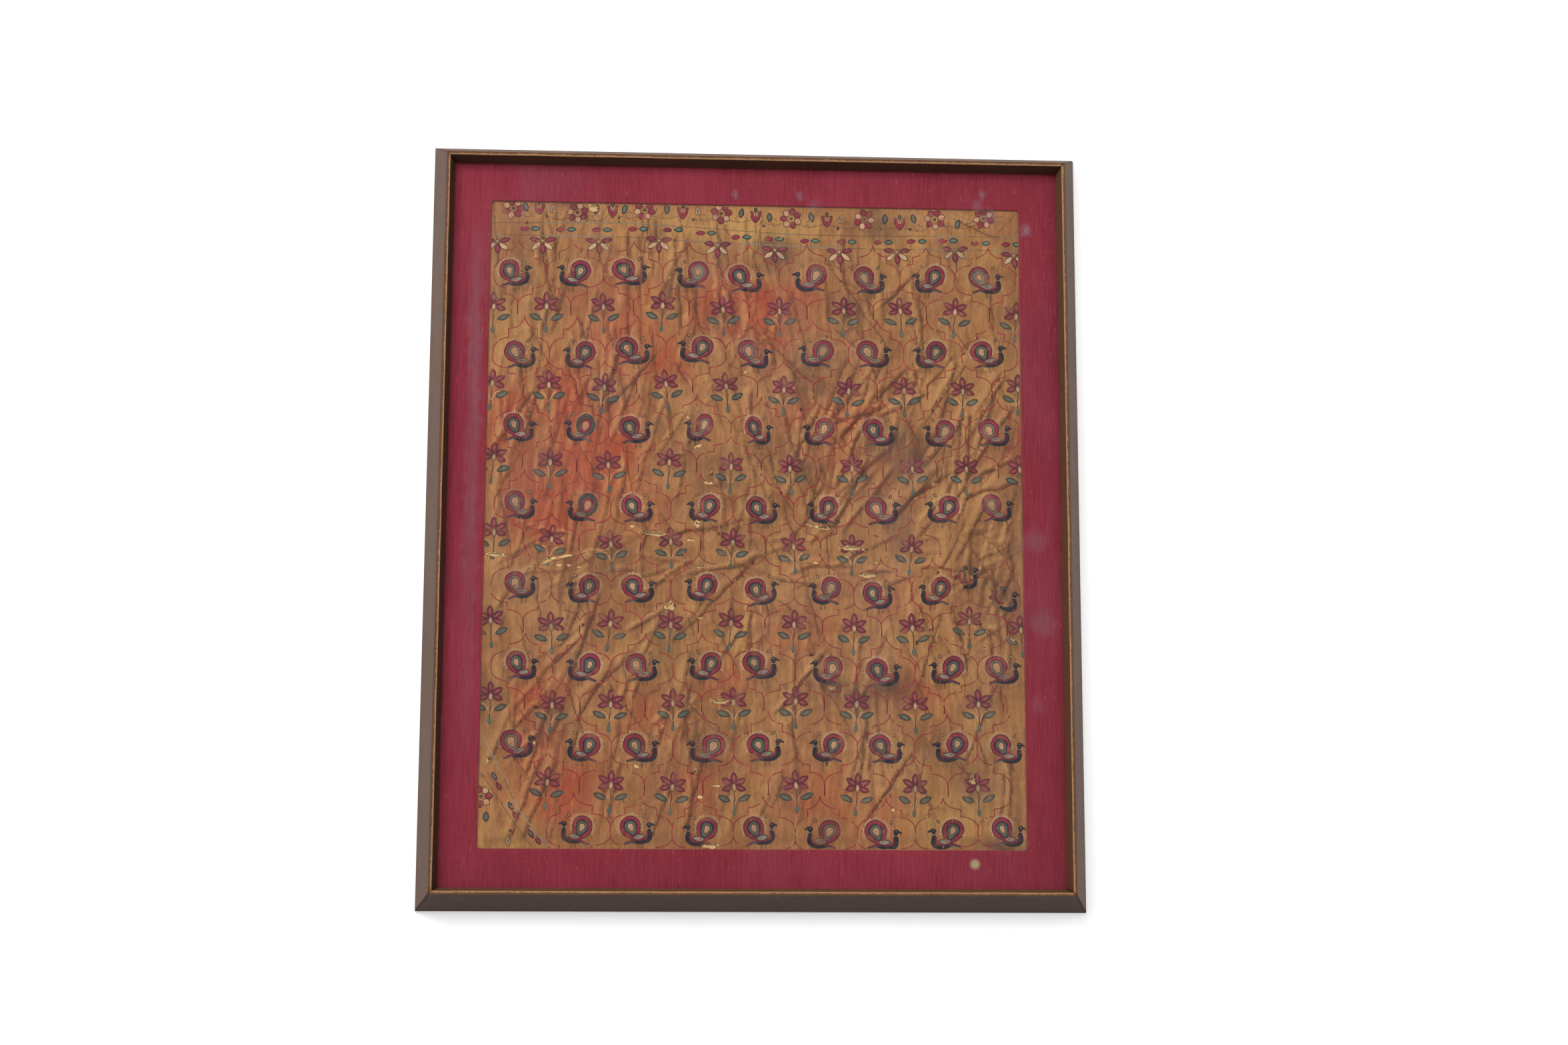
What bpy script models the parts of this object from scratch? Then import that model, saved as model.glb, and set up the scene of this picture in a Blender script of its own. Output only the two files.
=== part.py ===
"""Old embroidered cloth under glass in a stained wood frame, lying on its back.

Metres, +Z up out of the picture, +Y towards the top of the picture.
The origin is at the middle of the frame's back, on the surface that it lies on.
"""

import math
from collections import namedtuple

import bmesh
import bpy
from mathutils import Vector

MM = 0.001
GAP = 0.3 * MM

# Overall frame, over the outer feet of the moulding
FRAME_WIDTH = 680.0 * MM
FRAME_HEIGHT = 797.4 * MM

# Moulding: highest at the inner ridge, falling back to a square foot outside
FOOT_HEIGHT = 3.0 * MM
RIDGE_HEIGHT = 46.3 * MM
SLOPE_RUN = 16.5 * MM
STRIP_RUN = 3.3 * MM
STRIP_DROP = 1.3 * MM
WALL_DEPTH = 18.0 * MM
WALL_LEAN = 3.6 * MM
LIP_RUN = 8.0 * MM
ARRIS_RADIUS = 0.6 * MM
ARRIS_STEPS = 3

# What lies in the rabbet, from the glass back
GLASS_THICKNESS = 2.0 * MM
MAT_THICKNESS = 2.6 * MM
CLOTH_THICKNESS = 1.2 * MM
BOARD_THICKNESS = 4.0 * MM
RABBET_CLEARANCE = 0.4 * MM

# Window of the mat, nearly centred in the frame
WINDOW_WIDTH = 555.5 * MM
WINDOW_HEIGHT = 672.6 * MM
WINDOW_CENTRE = Vector((-0.5 * MM, -0.2 * MM))
WINDOW_RADIUS = 4.0 * MM
WINDOW_EDGE_RADIUS = 1.0 * MM
WINDOW_CORNER_STEPS = 6
MAT_CORNER_RADIUS = 1.0 * MM

# The cloth reaches under the mat by this much on every side
CLOTH_TUCK = 10.0 * MM
CLOTH_COLUMNS = 46
CLOTH_ROWS = 55
# Inside the window the cloth stands a little off its board and is uneven
EDGE_CLEARANCE = 2.0 * MM
EDGE_FADE = 16.0 * MM
LOFT_HEIGHT = 0.7 * MM
LEAST_HEIGHT = 0.1 * MM
MOST_HEIGHT = 2.3 * MM

Crease = namedtuple("Crease", "x0 y0 x1 y1 width height")

# Main creases, in mm from the window's centre: both ends, half width, and
# height of the ridge, or depth of the trough where it is negative
CREASES = [
    Crease(-135, 297, -133, 190, 8, 1.0),
    Crease(-105, 333, -105, 302, 8, 0.8),
    Crease(-80, 246, -78, 202, 8, 0.9),
    Crease(-61, 242, -64, 194, 8, 1.0),
    Crease(-212, 251, -206, 227, 8, 0.7),
    Crease(-182, 208, -175, 185, 8, 0.8),
    Crease(-233, 197, -201, 135, 8, 0.9),
    Crease(-194, 158, -182, 120, 9, 1.1),
    Crease(-163, 170, -162, 117, 8, 0.7),
    Crease(-83, 166, -60, 122, 9, 0.8),
    Crease(-149, 119, -105, 171, 9, 0.8),
    Crease(-26, 241, -22, 207, 8, 0.9),
    Crease(-7, 205, 59, 147, 9, 1.1),
    Crease(72, 282, 124, 206, 9, 1.1),
    Crease(124, 206, 137, 189, 8, 0.8),
    Crease(136, 233, 162, 259, 9, 1.1),
    Crease(94, 171, 74, 113, 9, 0.9),
    Crease(152, 156, 98, 98, 9, 1.2),
    Crease(245, 246, 252, 198, 8, 0.8),
    Crease(254, 154, 238, 129, 8, 0.9),
    Crease(254, 154, 264, 120, 8, 0.8),
    Crease(208, 326, 246, 307, 9, 0.9),
    Crease(12, 77, 39, -14, 9, 0.9),
    Crease(31, 94, 62, 27, 9, 1.1),
    Crease(90, 90, 124, 37, 9, 1.1),
    Crease(114, 56, 83, -6, 10, 1.5),
    Crease(180, 45, 150, 11, 10, 1.5),
    Crease(194, 48, 159, 19, 8, 0.7),
    Crease(156, 115, 171, 83, 10, 1.3),
    Crease(171, 83, 167, 64, 9, 1.0),
    Crease(214, 107, 213, 67, 8, 0.8),
    Crease(216, -3, 196, -44, 9, 0.9),
    Crease(246, -4, 233, -53, 9, -0.7),
    Crease(50, -55, 68, -120, 9, 0.8),
    Crease(-181, 75, -166, 49, 11, 1.6),
    Crease(-166, 49, -166, 24, 10, 1.3),
    Crease(-133, 47, -138, 28, 9, 1.0),
    Crease(-264, 29, -251, -33, 9, 0.9),
    Crease(-228, -49, -161, -33, 9, -0.8),
    Crease(-2, -43, -78, -123, 8, 0.7),
    Crease(-224, -64, -218, -109, 8, 0.7),
    Crease(-180, -93, -192, -125, 8, 0.8),
    Crease(-160, -87, -188, -167, 9, 1.0),
    Crease(-96, -20, -2, 2, 9, 0.7),
    Crease(-148, -155, -173, -197, 10, 1.2),
    Crease(-148, -170, -106, -224, 9, 1.0),
    Crease(-191, -172, -173, -221, 9, 1.0),
    Crease(-151, -250, -152, -307, 8, 0.9),
    Crease(-246, -243, -228, -263, 9, -0.6),
    Crease(39, -212, 50, -297, 9, 1.0),
    Crease(159, -244, 115, -309, 9, 0.9),
    Crease(210, -247, 221, -267, 9, 0.9),
    Crease(227, -218, 238, -251, 9, 1.0),
    Crease(152, -125, 169, -155, 9, 0.9),
    Crease(250, -163, 257, -196, 8, 0.7),
]

Swell = namedtuple("Swell", "across along height phase")

# Slow swells of the whole cloth: lengths across and along it, and height, in mm
SWELLS = [
    Swell(190, 260, 0.30, 0.4),
    Swell(120, -175, 0.25, 2.1),
    Swell(70, 95, 0.15, 4.0),
]

Look = namedtuple("Look", "colour roughness metallic")

# Colours as seen, in sRGB from 0 to 255
LOOKS = {
    "wood": Look((96, 78, 66), 0.62, 0.0),
    "glass": Look((235, 240, 240), 0.05, 0.0),
    "linen": Look((142, 42, 60), 0.85, 0.0),
    "silk": Look((174, 124, 74), 0.75, 0.0),
    "board": Look((226, 192, 142), 0.9, 0.0),
}

LIP_HEIGHT = RIDGE_HEIGHT - STRIP_DROP - WALL_DEPTH
RABBET_OFFSET = SLOPE_RUN + STRIP_RUN + WALL_LEAN - LIP_RUN
PANE_WIDTH = FRAME_WIDTH - 2 * (RABBET_OFFSET + RABBET_CLEARANCE)
PANE_HEIGHT = FRAME_HEIGHT - 2 * (RABBET_OFFSET + RABBET_CLEARANCE)
GLASS_TOP = LIP_HEIGHT - GAP
MAT_TOP = GLASS_TOP - GLASS_THICKNESS - GAP
CLOTH_TOP = MAT_TOP - MAT_THICKNESS - GAP
BOARD_TOP = CLOTH_TOP - CLOTH_THICKNESS - GAP


def clear_scene():
    for obj in list(bpy.data.objects):
        bpy.data.objects.remove(obj, do_unlink=True)


def linear(value):
    share = value / 255
    if share <= 0.04045:
        return share / 12.92
    return ((share + 0.055) / 1.055) ** 2.4


def make_material(name):
    look = LOOKS[name]
    material = bpy.data.materials.new(name)
    material.use_nodes = True
    shader = material.node_tree.nodes["Principled BSDF"]
    shader.inputs["Base Color"].default_value = [linear(c) for c in look.colour] + [1]
    shader.inputs["Roughness"].default_value = look.roughness
    shader.inputs["Metallic"].default_value = look.metallic
    if name == "glass":
        shader.inputs["Transmission Weight"].default_value = 1.0
    return material


def add_object(name, bm, material, parent, is_closed=True):
    if is_closed:
        bmesh.ops.recalc_face_normals(bm, faces=bm.faces)
    mesh = bpy.data.meshes.new(name)
    bm.to_mesh(mesh)
    bm.free()
    obj = bpy.data.objects.new(name, mesh)
    obj.data.materials.append(material)
    obj.parent = parent
    bpy.context.scene.collection.objects.link(obj)
    return obj


def rounded_corner(before, corner, after, radius, steps):
    """The points of an arc that takes the corner's place."""
    to_before = (before - corner).normalized()
    to_after = (after - corner).normalized()
    half_angle = to_before.angle(to_after) / 2
    setback = radius / math.tan(half_angle)
    middle = (to_before + to_after).normalized()
    centre = corner + middle * radius / math.sin(half_angle)
    start = corner + to_before * setback - centre
    end = corner + to_after * setback - centre
    turn = start.angle(end)
    points = []
    for step in range(steps + 1):
        share = step / steps
        weight_start = math.sin((1 - share) * turn) / math.sin(turn)
        weight_end = math.sin(share * turn) / math.sin(turn)
        points.append(centre + start * weight_start + end * weight_end)
    return points


def moulding_profile():
    """Section of a rail: distance inwards from its outer side, and height."""
    ridge_inner = SLOPE_RUN + STRIP_RUN
    sight_edge = ridge_inner + WALL_LEAN
    corners = [
        (Vector((0, 0)), False),
        (Vector((0, FOOT_HEIGHT)), True),
        (Vector((SLOPE_RUN, RIDGE_HEIGHT)), True),
        (Vector((ridge_inner, RIDGE_HEIGHT - STRIP_DROP)), True),
        (Vector((sight_edge, LIP_HEIGHT)), True),
        (Vector((RABBET_OFFSET, LIP_HEIGHT)), False),
        (Vector((RABBET_OFFSET, 0)), False),
    ]
    profile = []
    for index, (corner, is_soft) in enumerate(corners):
        if is_soft:
            before = corners[index - 1][0]
            after = corners[index + 1][0]
            profile += rounded_corner(before, corner, after, ARRIS_RADIUS, ARRIS_STEPS)
        else:
            profile.append(corner)
    return profile


def make_rail(name, length, place, turn_degrees, material, parent):
    """A mitred rail along local X, its outer side on local Y = 0."""
    back_off = GAP / math.sqrt(2)
    profile = moulding_profile()
    bm = bmesh.new()
    rings = []
    for side in (-1, 1):
        ring = []
        for inward, height in profile:
            reach = length / 2 - inward - back_off
            ring.append(bm.verts.new((side * reach, inward, height)))
        rings.append(ring)
    count = len(profile)
    for index in range(count):
        following = (index + 1) % count
        quad = (rings[0][index], rings[0][following], rings[1][following], rings[1][index])
        bm.faces.new(quad)
    bm.faces.new(rings[0])
    bm.faces.new(rings[1])
    rail = add_object(name, bm, material, parent)
    rail.location = place
    rail.rotation_euler = (0, 0, math.radians(turn_degrees))
    return rail


def make_rails(material, parent):
    half_width = FRAME_WIDTH / 2
    half_height = FRAME_HEIGHT / 2
    make_rail("rail_bottom", FRAME_WIDTH, (0, -half_height, 0), 0, material, parent)
    make_rail("rail_top", FRAME_WIDTH, (0, half_height, 0), 180, material, parent)
    make_rail("rail_right", FRAME_HEIGHT, (half_width, 0, 0), 90, material, parent)
    make_rail("rail_left", FRAME_HEIGHT, (-half_width, 0, 0), -90, material, parent)


def make_pane(name, top, thickness, material, parent):
    """A flat sheet that fills the rabbet from wall to wall."""
    bm = bmesh.new()
    bmesh.ops.create_cube(bm, size=1)
    bmesh.ops.scale(bm, vec=(PANE_WIDTH, PANE_HEIGHT, thickness), verts=bm.verts)
    pane = add_object(name, bm, material, parent)
    pane.location = (0, 0, top - thickness / 2)
    return pane


def rounded_rectangle(width, height, radius, centre):
    """Points round a rectangle with the same number of steps at each corner."""
    points = []
    for quarter in range(4):
        sign_x = (1, -1, -1, 1)[quarter]
        sign_y = (1, 1, -1, -1)[quarter]
        middle = centre + Vector((sign_x * (width / 2 - radius), sign_y * (height / 2 - radius)))
        for step in range(WINDOW_CORNER_STEPS + 1):
            angle = math.radians(90) * (quarter + step / WINDOW_CORNER_STEPS)
            points.append(middle + radius * Vector((math.cos(angle), math.sin(angle))))
    return points


def make_mat(material, parent):
    """Window mat: a flat ring with the cloth that wraps it turned softly over the window's edge."""
    bottom = MAT_TOP - MAT_THICKNESS
    outer = rounded_rectangle(PANE_WIDTH, PANE_HEIGHT, MAT_CORNER_RADIUS, Vector((0, 0)))
    sections = [(outer, bottom), (outer, MAT_TOP)]
    for step in range(ARRIS_STEPS + 1):
        angle = math.radians(90) * step / ARRIS_STEPS
        set_back = WINDOW_EDGE_RADIUS * (1 - math.sin(angle))
        drop = WINDOW_EDGE_RADIUS * (1 - math.cos(angle))
        loop = rounded_rectangle(
            WINDOW_WIDTH + 2 * set_back,
            WINDOW_HEIGHT + 2 * set_back,
            WINDOW_RADIUS + set_back,
            WINDOW_CENTRE,
        )
        sections.append((loop, MAT_TOP - drop))
    window = rounded_rectangle(WINDOW_WIDTH, WINDOW_HEIGHT, WINDOW_RADIUS, WINDOW_CENTRE)
    sections.append((window, bottom))
    bm = bmesh.new()
    rings = []
    for loop, height in sections:
        rings.append([bm.verts.new((point.x, point.y, height)) for point in loop])
    count = len(outer)
    for index, ring in enumerate(rings):
        next_ring = rings[(index + 1) % len(rings)]
        for place in range(count):
            after = (place + 1) % count
            bm.faces.new((ring[place], ring[after], next_ring[after], next_ring[place]))
    return add_object("mat", bm, material, parent)


def smooth_step(value):
    share = min(max(value, 0.0), 1.0)
    return share * share * (3 - 2 * share)


def crease_height(crease, x, y):
    """Height in mm that one crease adds at a point given in mm."""
    run_x = crease.x1 - crease.x0
    run_y = crease.y1 - crease.y0
    length = math.hypot(run_x, run_y)
    along = ((x - crease.x0) * run_x + (y - crease.y0) * run_y) / length
    across = ((x - crease.x0) * run_y - (y - crease.y0) * run_x) / length
    beyond = max(-along, along - length, 0.0)
    nearness = math.exp(-((across / crease.width) ** 2))
    return crease.height * nearness * math.exp(-((beyond / crease.width) ** 2))


def swell_height(swell, x, y):
    wave = 2 * math.pi * (x / swell.across + y / swell.along)
    return swell.height * math.sin(wave + swell.phase)


def cloth_height(x, y):
    """How far the cloth stands above its flat border, in metres, from the window's centre."""
    edge_x = WINDOW_WIDTH / 2 - abs(x)
    edge_y = WINDOW_HEIGHT / 2 - abs(y)
    fade = smooth_step((min(edge_x, edge_y) - EDGE_CLEARANCE) / EDGE_FADE)
    x_mm = x / MM
    y_mm = y / MM
    uneven = sum(crease_height(crease, x_mm, y_mm) for crease in CREASES)
    uneven += sum(swell_height(swell, x_mm, y_mm) for swell in SWELLS)
    height = min(max(LOFT_HEIGHT + uneven * MM, LEAST_HEIGHT), MOST_HEIGHT)
    return height * fade


def grid_lines(size, count):
    """Grid lines that keep clear of the window's edge, with one more under the mat each side."""
    inner = size - 2 * EDGE_CLEARANCE
    lines = [inner * (step / count - 0.5) for step in range(count + 1)]
    outside = size / 2 + CLOTH_TUCK
    return [-outside] + lines + [outside]


def make_textile(material, parent):
    """The creased cloth: flat and pressed under the mat, uneven in the window."""
    columns = grid_lines(WINDOW_WIDTH, CLOTH_COLUMNS)
    rows = grid_lines(WINDOW_HEIGHT, CLOTH_ROWS)
    bm = bmesh.new()
    grid = [[bm.verts.new((x, y, cloth_height(x, y))) for x in columns] for y in rows]
    for lower, upper in zip(grid, grid[1:]):
        for index in range(len(columns) - 1):
            bm.faces.new((lower[index], lower[index + 1], upper[index + 1], upper[index]))
    textile = add_object("textile", bm, material, parent, is_closed=False)
    textile.location = (WINDOW_CENTRE.x, WINDOW_CENTRE.y, CLOTH_TOP)
    solidify = textile.modifiers.new("Thickness", "SOLIDIFY")
    solidify.thickness = CLOTH_THICKNESS
    solidify.offset = -1
    textile.data.shade_smooth()
    return textile


def main():
    clear_scene()
    root = bpy.data.objects.new("framed_textile", None)
    bpy.context.scene.collection.objects.link(root)
    make_rails(make_material("wood"), root)
    make_pane("glazing", GLASS_TOP, GLASS_THICKNESS, make_material("glass"), root)
    make_mat(make_material("linen"), root)
    make_textile(make_material("silk"), root)
    make_pane("mount_board", BOARD_TOP, BOARD_THICKNESS, make_material("board"), root)


main()
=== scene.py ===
"""Looks of an old embroidered silk panel in a red linen mat, under glass, in a worn wood frame.

Shapes are worked out in mm. The cloth's own points are measured from the mat window's centre,
all others from the middle of the frame's back, +X right, +Y to the picture's top, +Z out of it.
"""

import math
from collections import namedtuple

import bpy
import numpy as np
from mathutils import Matrix


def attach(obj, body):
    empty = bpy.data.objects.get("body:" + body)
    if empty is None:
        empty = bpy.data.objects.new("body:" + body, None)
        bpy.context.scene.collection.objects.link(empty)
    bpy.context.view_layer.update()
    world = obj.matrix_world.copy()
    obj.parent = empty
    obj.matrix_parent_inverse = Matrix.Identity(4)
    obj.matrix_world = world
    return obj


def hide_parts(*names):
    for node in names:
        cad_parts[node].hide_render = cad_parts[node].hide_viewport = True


MM = 0.001
rng = np.random.default_rng(11)

# Sizes shared with the solids
FRAME_WIDTH = 680.0
FRAME_HEIGHT = 797.4
FOOT_HEIGHT = 3.0
RIDGE_HEIGHT = 46.3
SLOPE_RUN = 16.5
STRIP_RUN = 3.3
STRIP_DROP = 1.3
WALL_DEPTH = 18.0
WALL_LEAN = 3.6
LIP_RUN = 8.0
MITRE_GAP = 0.21
ARRIS_RADIUS = 0.6
WINDOW_WIDTH = 555.5
WINDOW_HEIGHT = 672.6
WINDOW_CENTRE = (-0.5, -0.2)
WINDOW_RADIUS = 4.0
PANE_WIDTH = 648.4
PANE_HEIGHT = 765.8
MAT_TOP = 24.4
MAT_THICKNESS = 2.6
CLOTH_TOP = 21.5
CLOTH_TUCK = 10.0
EDGE_CLEARANCE = 2.0
EDGE_FADE = 16.0
LOFT_HEIGHT = 0.7
LEAST_HEIGHT = 0.1
MOST_HEIGHT = 2.3

# Spacing of the cloth's points, length of a stitch's link, the inner share of a loss that is cut
# through, the height from which losses are, how far from a crease its painted line of shade can
# reach, and the side that most light comes from
CELL = 2.05
STITCH = 1.6
HOLE_SHARE = 0.72
LEAST_HOLE = 3.5
MARK_REACH = 5.0
LIT_SIDE = (-0.68, 0.73)

# The glass: its top, how much of it shows where it is clean, and how far noise shifts its marks on
# the whole
GLASS_TOP = 25.7
CLEAR_GLASS = 0.004
NOISE_SHIFT = 8

# The floor, and its own light, which keeps it white; lights: name, place and size in m, watts
FLOOR_REACH = 12000.0
FLOOR_TOP = -0.3
FLOOR_GLOW = 0.30
SKY_STRENGTH = 0.44
LIGHTS = [("key", (-1.2, 1.35, 2.7), 1.3, 57), ("fill", (1.3, 0.5, 2.6), 1.6, 15)]

# The camera, fitted to the frame's corners: focal length and width of the picture in its pixels,
# place in m, turns in degrees about X, Y and Z from looking straight down
PHOTO_WIDTH = 2352
FOCAL_PIXELS = 3632.37
SENSOR_WIDTH = 36.0
CLIP = (0.1, 30.0)
CAMERA_PLACE = (-0.1095, -0.4137, 2.4821)
CAMERA_TURNS = (9.4830, -3.2521, 0.1337)

Crease = namedtuple("Crease", "x0 y0 x1 y1 width height")

# Main creases, as in the solid: both ends, half width, and height or depth
CREASES = [Crease(*row) for row in (
    (-135, 297, -133, 190, 8, 1.0), (-105, 333, -105, 302, 8, 0.8), (-80, 246, -78, 202, 8, 0.9),
    (-61, 242, -64, 194, 8, 1.0), (-212, 251, -206, 227, 8, 0.7), (-182, 208, -175, 185, 8, 0.8),
    (-233, 197, -201, 135, 8, 0.9), (-194, 158, -182, 120, 9, 1.1), (-163, 170, -162, 117, 8, 0.7),
    (-83, 166, -60, 122, 9, 0.8), (-149, 119, -105, 171, 9, 0.8), (-26, 241, -22, 207, 8, 0.9),
    (-7, 205, 59, 147, 9, 1.1), (72, 282, 124, 206, 9, 1.1), (124, 206, 137, 189, 8, 0.8),
    (136, 233, 162, 259, 9, 1.1), (94, 171, 74, 113, 9, 0.9), (152, 156, 98, 98, 9, 1.2),
    (245, 246, 252, 198, 8, 0.8), (254, 154, 238, 129, 8, 0.9), (254, 154, 264, 120, 8, 0.8),
    (208, 326, 246, 307, 9, 0.9), (12, 77, 39, -14, 9, 0.9), (31, 94, 62, 27, 9, 1.1),
    (90, 90, 124, 37, 9, 1.1), (114, 56, 83, -6, 10, 1.5), (180, 45, 150, 11, 10, 1.5),
    (194, 48, 159, 19, 8, 0.7), (156, 115, 171, 83, 10, 1.3), (171, 83, 167, 64, 9, 1.0),
    (214, 107, 213, 67, 8, 0.8), (216, -3, 196, -44, 9, 0.9), (246, -4, 233, -53, 9, -0.7),
    (50, -55, 68, -120, 9, 0.8), (-181, 75, -166, 49, 11, 1.6), (-166, 49, -166, 24, 10, 1.3),
    (-133, 47, -138, 28, 9, 1.0), (-264, 29, -251, -33, 9, 0.9), (-228, -49, -161, -33, 9, -0.8),
    (-2, -43, -78, -123, 8, 0.7), (-224, -64, -218, -109, 8, 0.7), (-180, -93, -192, -125, 8, 0.8),
    (-160, -87, -188, -167, 9, 1.0), (-96, -20, -2, 2, 9, 0.7), (-148, -155, -173, -197, 10, 1.2),
    (-148, -170, -106, -224, 9, 1.0), (-191, -172, -173, -221, 9, 1.0),
    (-151, -250, -152, -307, 8, 0.9), (-246, -243, -228, -263, 9, -0.6),
    (39, -212, 50, -297, 9, 1.0), (159, -244, 115, -309, 9, 0.9), (210, -247, 221, -267, 9, 0.9),
    (227, -218, 238, -251, 9, 1.0), (152, -125, 169, -155, 9, 0.9), (250, -163, 257, -196, 8, 0.7),
)]

Swell = namedtuple("Swell", "across along height phase")
SWELLS = [Swell(*row) for row in (
    (190, 260, 0.30, 0.4), (120, -175, 0.25, 2.1), (70, 95, 0.15, 4.0),
)]

# Groups of finer creases: middle, spread, number, direction and its spread in
# degrees, usual length, half width, height
Group = namedtuple("Group", "x y spread_x spread_y count angle turn length width height")
GROUPS = [Group(*row) for row in (
    (-200, 210, 75, 110, 36, 86, 18, 56, 3.4, 1.00), (-70, 210, 75, 110, 46, 94, 18, 58, 3.6, 1.05),
    (110, 220, 110, 95, 46, 112, 32, 52, 3.6, 1.05), (160, 70, 110, 80, 50, 58, 34, 56, 4.0, 1.15),
    (-190, 50, 85, 90, 38, 84, 26, 50, 3.6, 1.00), (0, 40, 90, 90, 40, 104, 32, 50, 3.6, 1.00),
    (0, -40, 270, 28, 44, 8, 24, 34, 2.8, 0.75), (245, -80, 28, 60, 34, 95, 50, 28, 3.0, 1.10),
    (-130, -190, 140, 120, 66, 80, 32, 48, 3.6, 0.95),
    (120, -200, 150, 115, 66, 98, 32, 48, 3.6, 1.00),
)]

# Networks of creases: size of their cells, how they lie, half width and height of a
# crease, how far the cloth puffs up between creases, and where on the cloth they are
Crumple = namedtuple("Crumple", "size_x size_y turn width height puff x y reach_x reach_y seed")
CRUMPLES = [Crumple(*row) for row in (
    (30, 78, -4, 2.4, 0.40, 0.35, -110, 170, 230, 200, 201),
    (32, 70, -32, 2.6, 0.50, 0.45, 170, 90, 190, 190, 211),
    (28, 66, 8, 2.4, 0.40, 0.35, -60, -190, 330, 170, 221),
    (18, 26, 12, 2.2, 0.55, 0.40, 238, -75, 50, 75, 231),
)]

# Soft ripples: direction in degrees, width, length, height, middle and reach
Ripple = namedtuple("Ripple", "angle width length height x y reach seed")
RIPPLES = [Ripple(*row) for row in (
    (88, 11, 52, 0.42, -170, 190, 200, 251), (98, 12, 46, 0.42, 20, 170, 170, 256),
    (60, 13, 50, 0.50, 170, 80, 180, 261), (112, 12, 44, 0.40, 120, 230, 150, 266),
    (78, 12, 46, 0.40, -150, -90, 220, 271), (100, 12, 44, 0.40, 120, -190, 220, 276),
    (6, 9, 40, 0.26, 0, -40, 260, 281),
)]

# Width of a fold's steep side, how much higher main and fine creases are than their tables say, and
# how far past its ends a fine crease fades out
CREST = 2.1
MAIN_GAIN = 1.15
FINE_GAIN = 0.85
FINE_TAIL = 7

Stain = namedtuple("Stain", "x y reach_x reach_y strength")
RED_STAINS = [Stain(*row) for row in (
    (-9, 226, 57, 28, 0.8), (40, 238, 31, 21, 0.5), (-142, 207, 46, 57, 0.5),
    (-105, 169, 41, 26, 0.5), (-194, 130, 26, 46, 0.8), (-247, 102, 36, 41, 0.7),
    (-167, 60, 52, 41, 0.9), (-218, 11, 52, 36, 0.85), (-152, 103, 41, 31, 0.5),
    (77, 107, 52, 31, 0.5), (99, 63, 31, 31, 0.4), (-215, -184, 26, 26, 0.6),
    (-219, -231, 26, 31, 0.6), (-198, -277, 41, 31, 0.7), (-111, -199, 31, 26, 0.35),
    (-28, -172, 31, 21, 0.3), (61, -281, 46, 31, 0.4), (124, -301, 31, 26, 0.3),
    (172, -176, 26, 21, 0.4), (265, 87, 21, 21, 0.3), (141, -76, 31, 21, 0.25),
    (45, -114, 41, 21, 0.3), (13, 193, 31, 26, 0.5), (-62, 231, 26, 26, 0.4),
    (-232, 58, 34, 52, 0.55), (-120, 20, 26, 22, 0.3), (-60, -268, 30, 24, 0.35),
)]
BROWN_STAINS = [Stain(*row) for row in (
    (-87, 255, 15, 18, 0.6), (-38, 209, 18, 15, 0.5), (99, 222, 21, 21, 0.6),
    (64, 167, 23, 21, 0.6), (61, 134, 21, 26, 0.5), (23, 285, 28, 14, 0.7),
    (-220, 222, 26, 15, 0.3), (136, 80, 36, 21, 0.75), (168, 64, 28, 21, 0.75),
    (114, 37, 23, 26, 0.5), (19, 84, 31, 21, 0.4), (-104, 104, 15, 21, 0.4), (-266, 5, 21, 31, 0.3),
    (-72, 72, 21, 31, 0.25), (88, -177, 36, 14, 0.7), (140, -171, 26, 14, 0.55),
    (-207, -210, 21, 21, 0.7), (-59, -235, 21, 26, 0.4), (-91, -110, 21, 31, 0.5),
    (-69, -188, 21, 21, 0.4), (231, -53, 23, 18, 0.6), (252, -75, 21, 31, 0.6),
    (-165, -47, 57, 18, 0.35), (229, -259, 31, 21, 0.3), (171, -228, 21, 15, 0.4),
    (249, -337, 26, 10, 0.7), (-27, -224, 21, 21, 0.3), (-40, 35, 31, 31, 0.3),
    (56, 52, 31, 26, 0.35), (-117, 329, 21, 8, 0.4), (126, 317, 31, 15, 0.5),
    (-187, 328, 21, 8, 0.4), (152, -1, 31, 21, 0.3), (-7, -56, 46, 21, 0.2), (275, 12, 10, 52, 0.3),
    (-271, -200, 15, 31, 0.3), (-238, 84, 28, 52, 0.22), (-236, 264, 34, 28, 0.26),
    (-160, 272, 24, 20, 0.2), (252, 60, 26, 42, 0.22), (238, -22, 28, 30, 0.24),
)]
PALE_STAINS = [Stain(*row) for row in (
    (-4, 309, 67, 18, 0.8), (-95, 319, 41, 15, 0.4), (235, 280, 31, 31, 0.3),
    (153, 295, 31, 15, 0.4), (207, -301, 57, 31, 0.5), (-28, -130, 31, 21, 0.3),
    (203, -160, 31, 26, 0.4), (-86, -136, 31, 21, 0.4), (-248, -334, 31, 21, 0.4),
    (271, 153, 15, 31, 0.3), (201, 152, 26, 26, 0.3), (4, -286, 31, 21, 0.25),
    (234, -223, 31, 26, 0.3), (-179, 179, 21, 26, 0.25), (-248, 189, 26, 21, 0.25),
    (129, -229, 26, 21, 0.3), (-100, 230, 21, 31, 0.3),
)]

# How much stronger the red stains are than their table says, and how strong the halos are
RED_GAIN = 1.25
HALO_SHARE = 0.8

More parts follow.
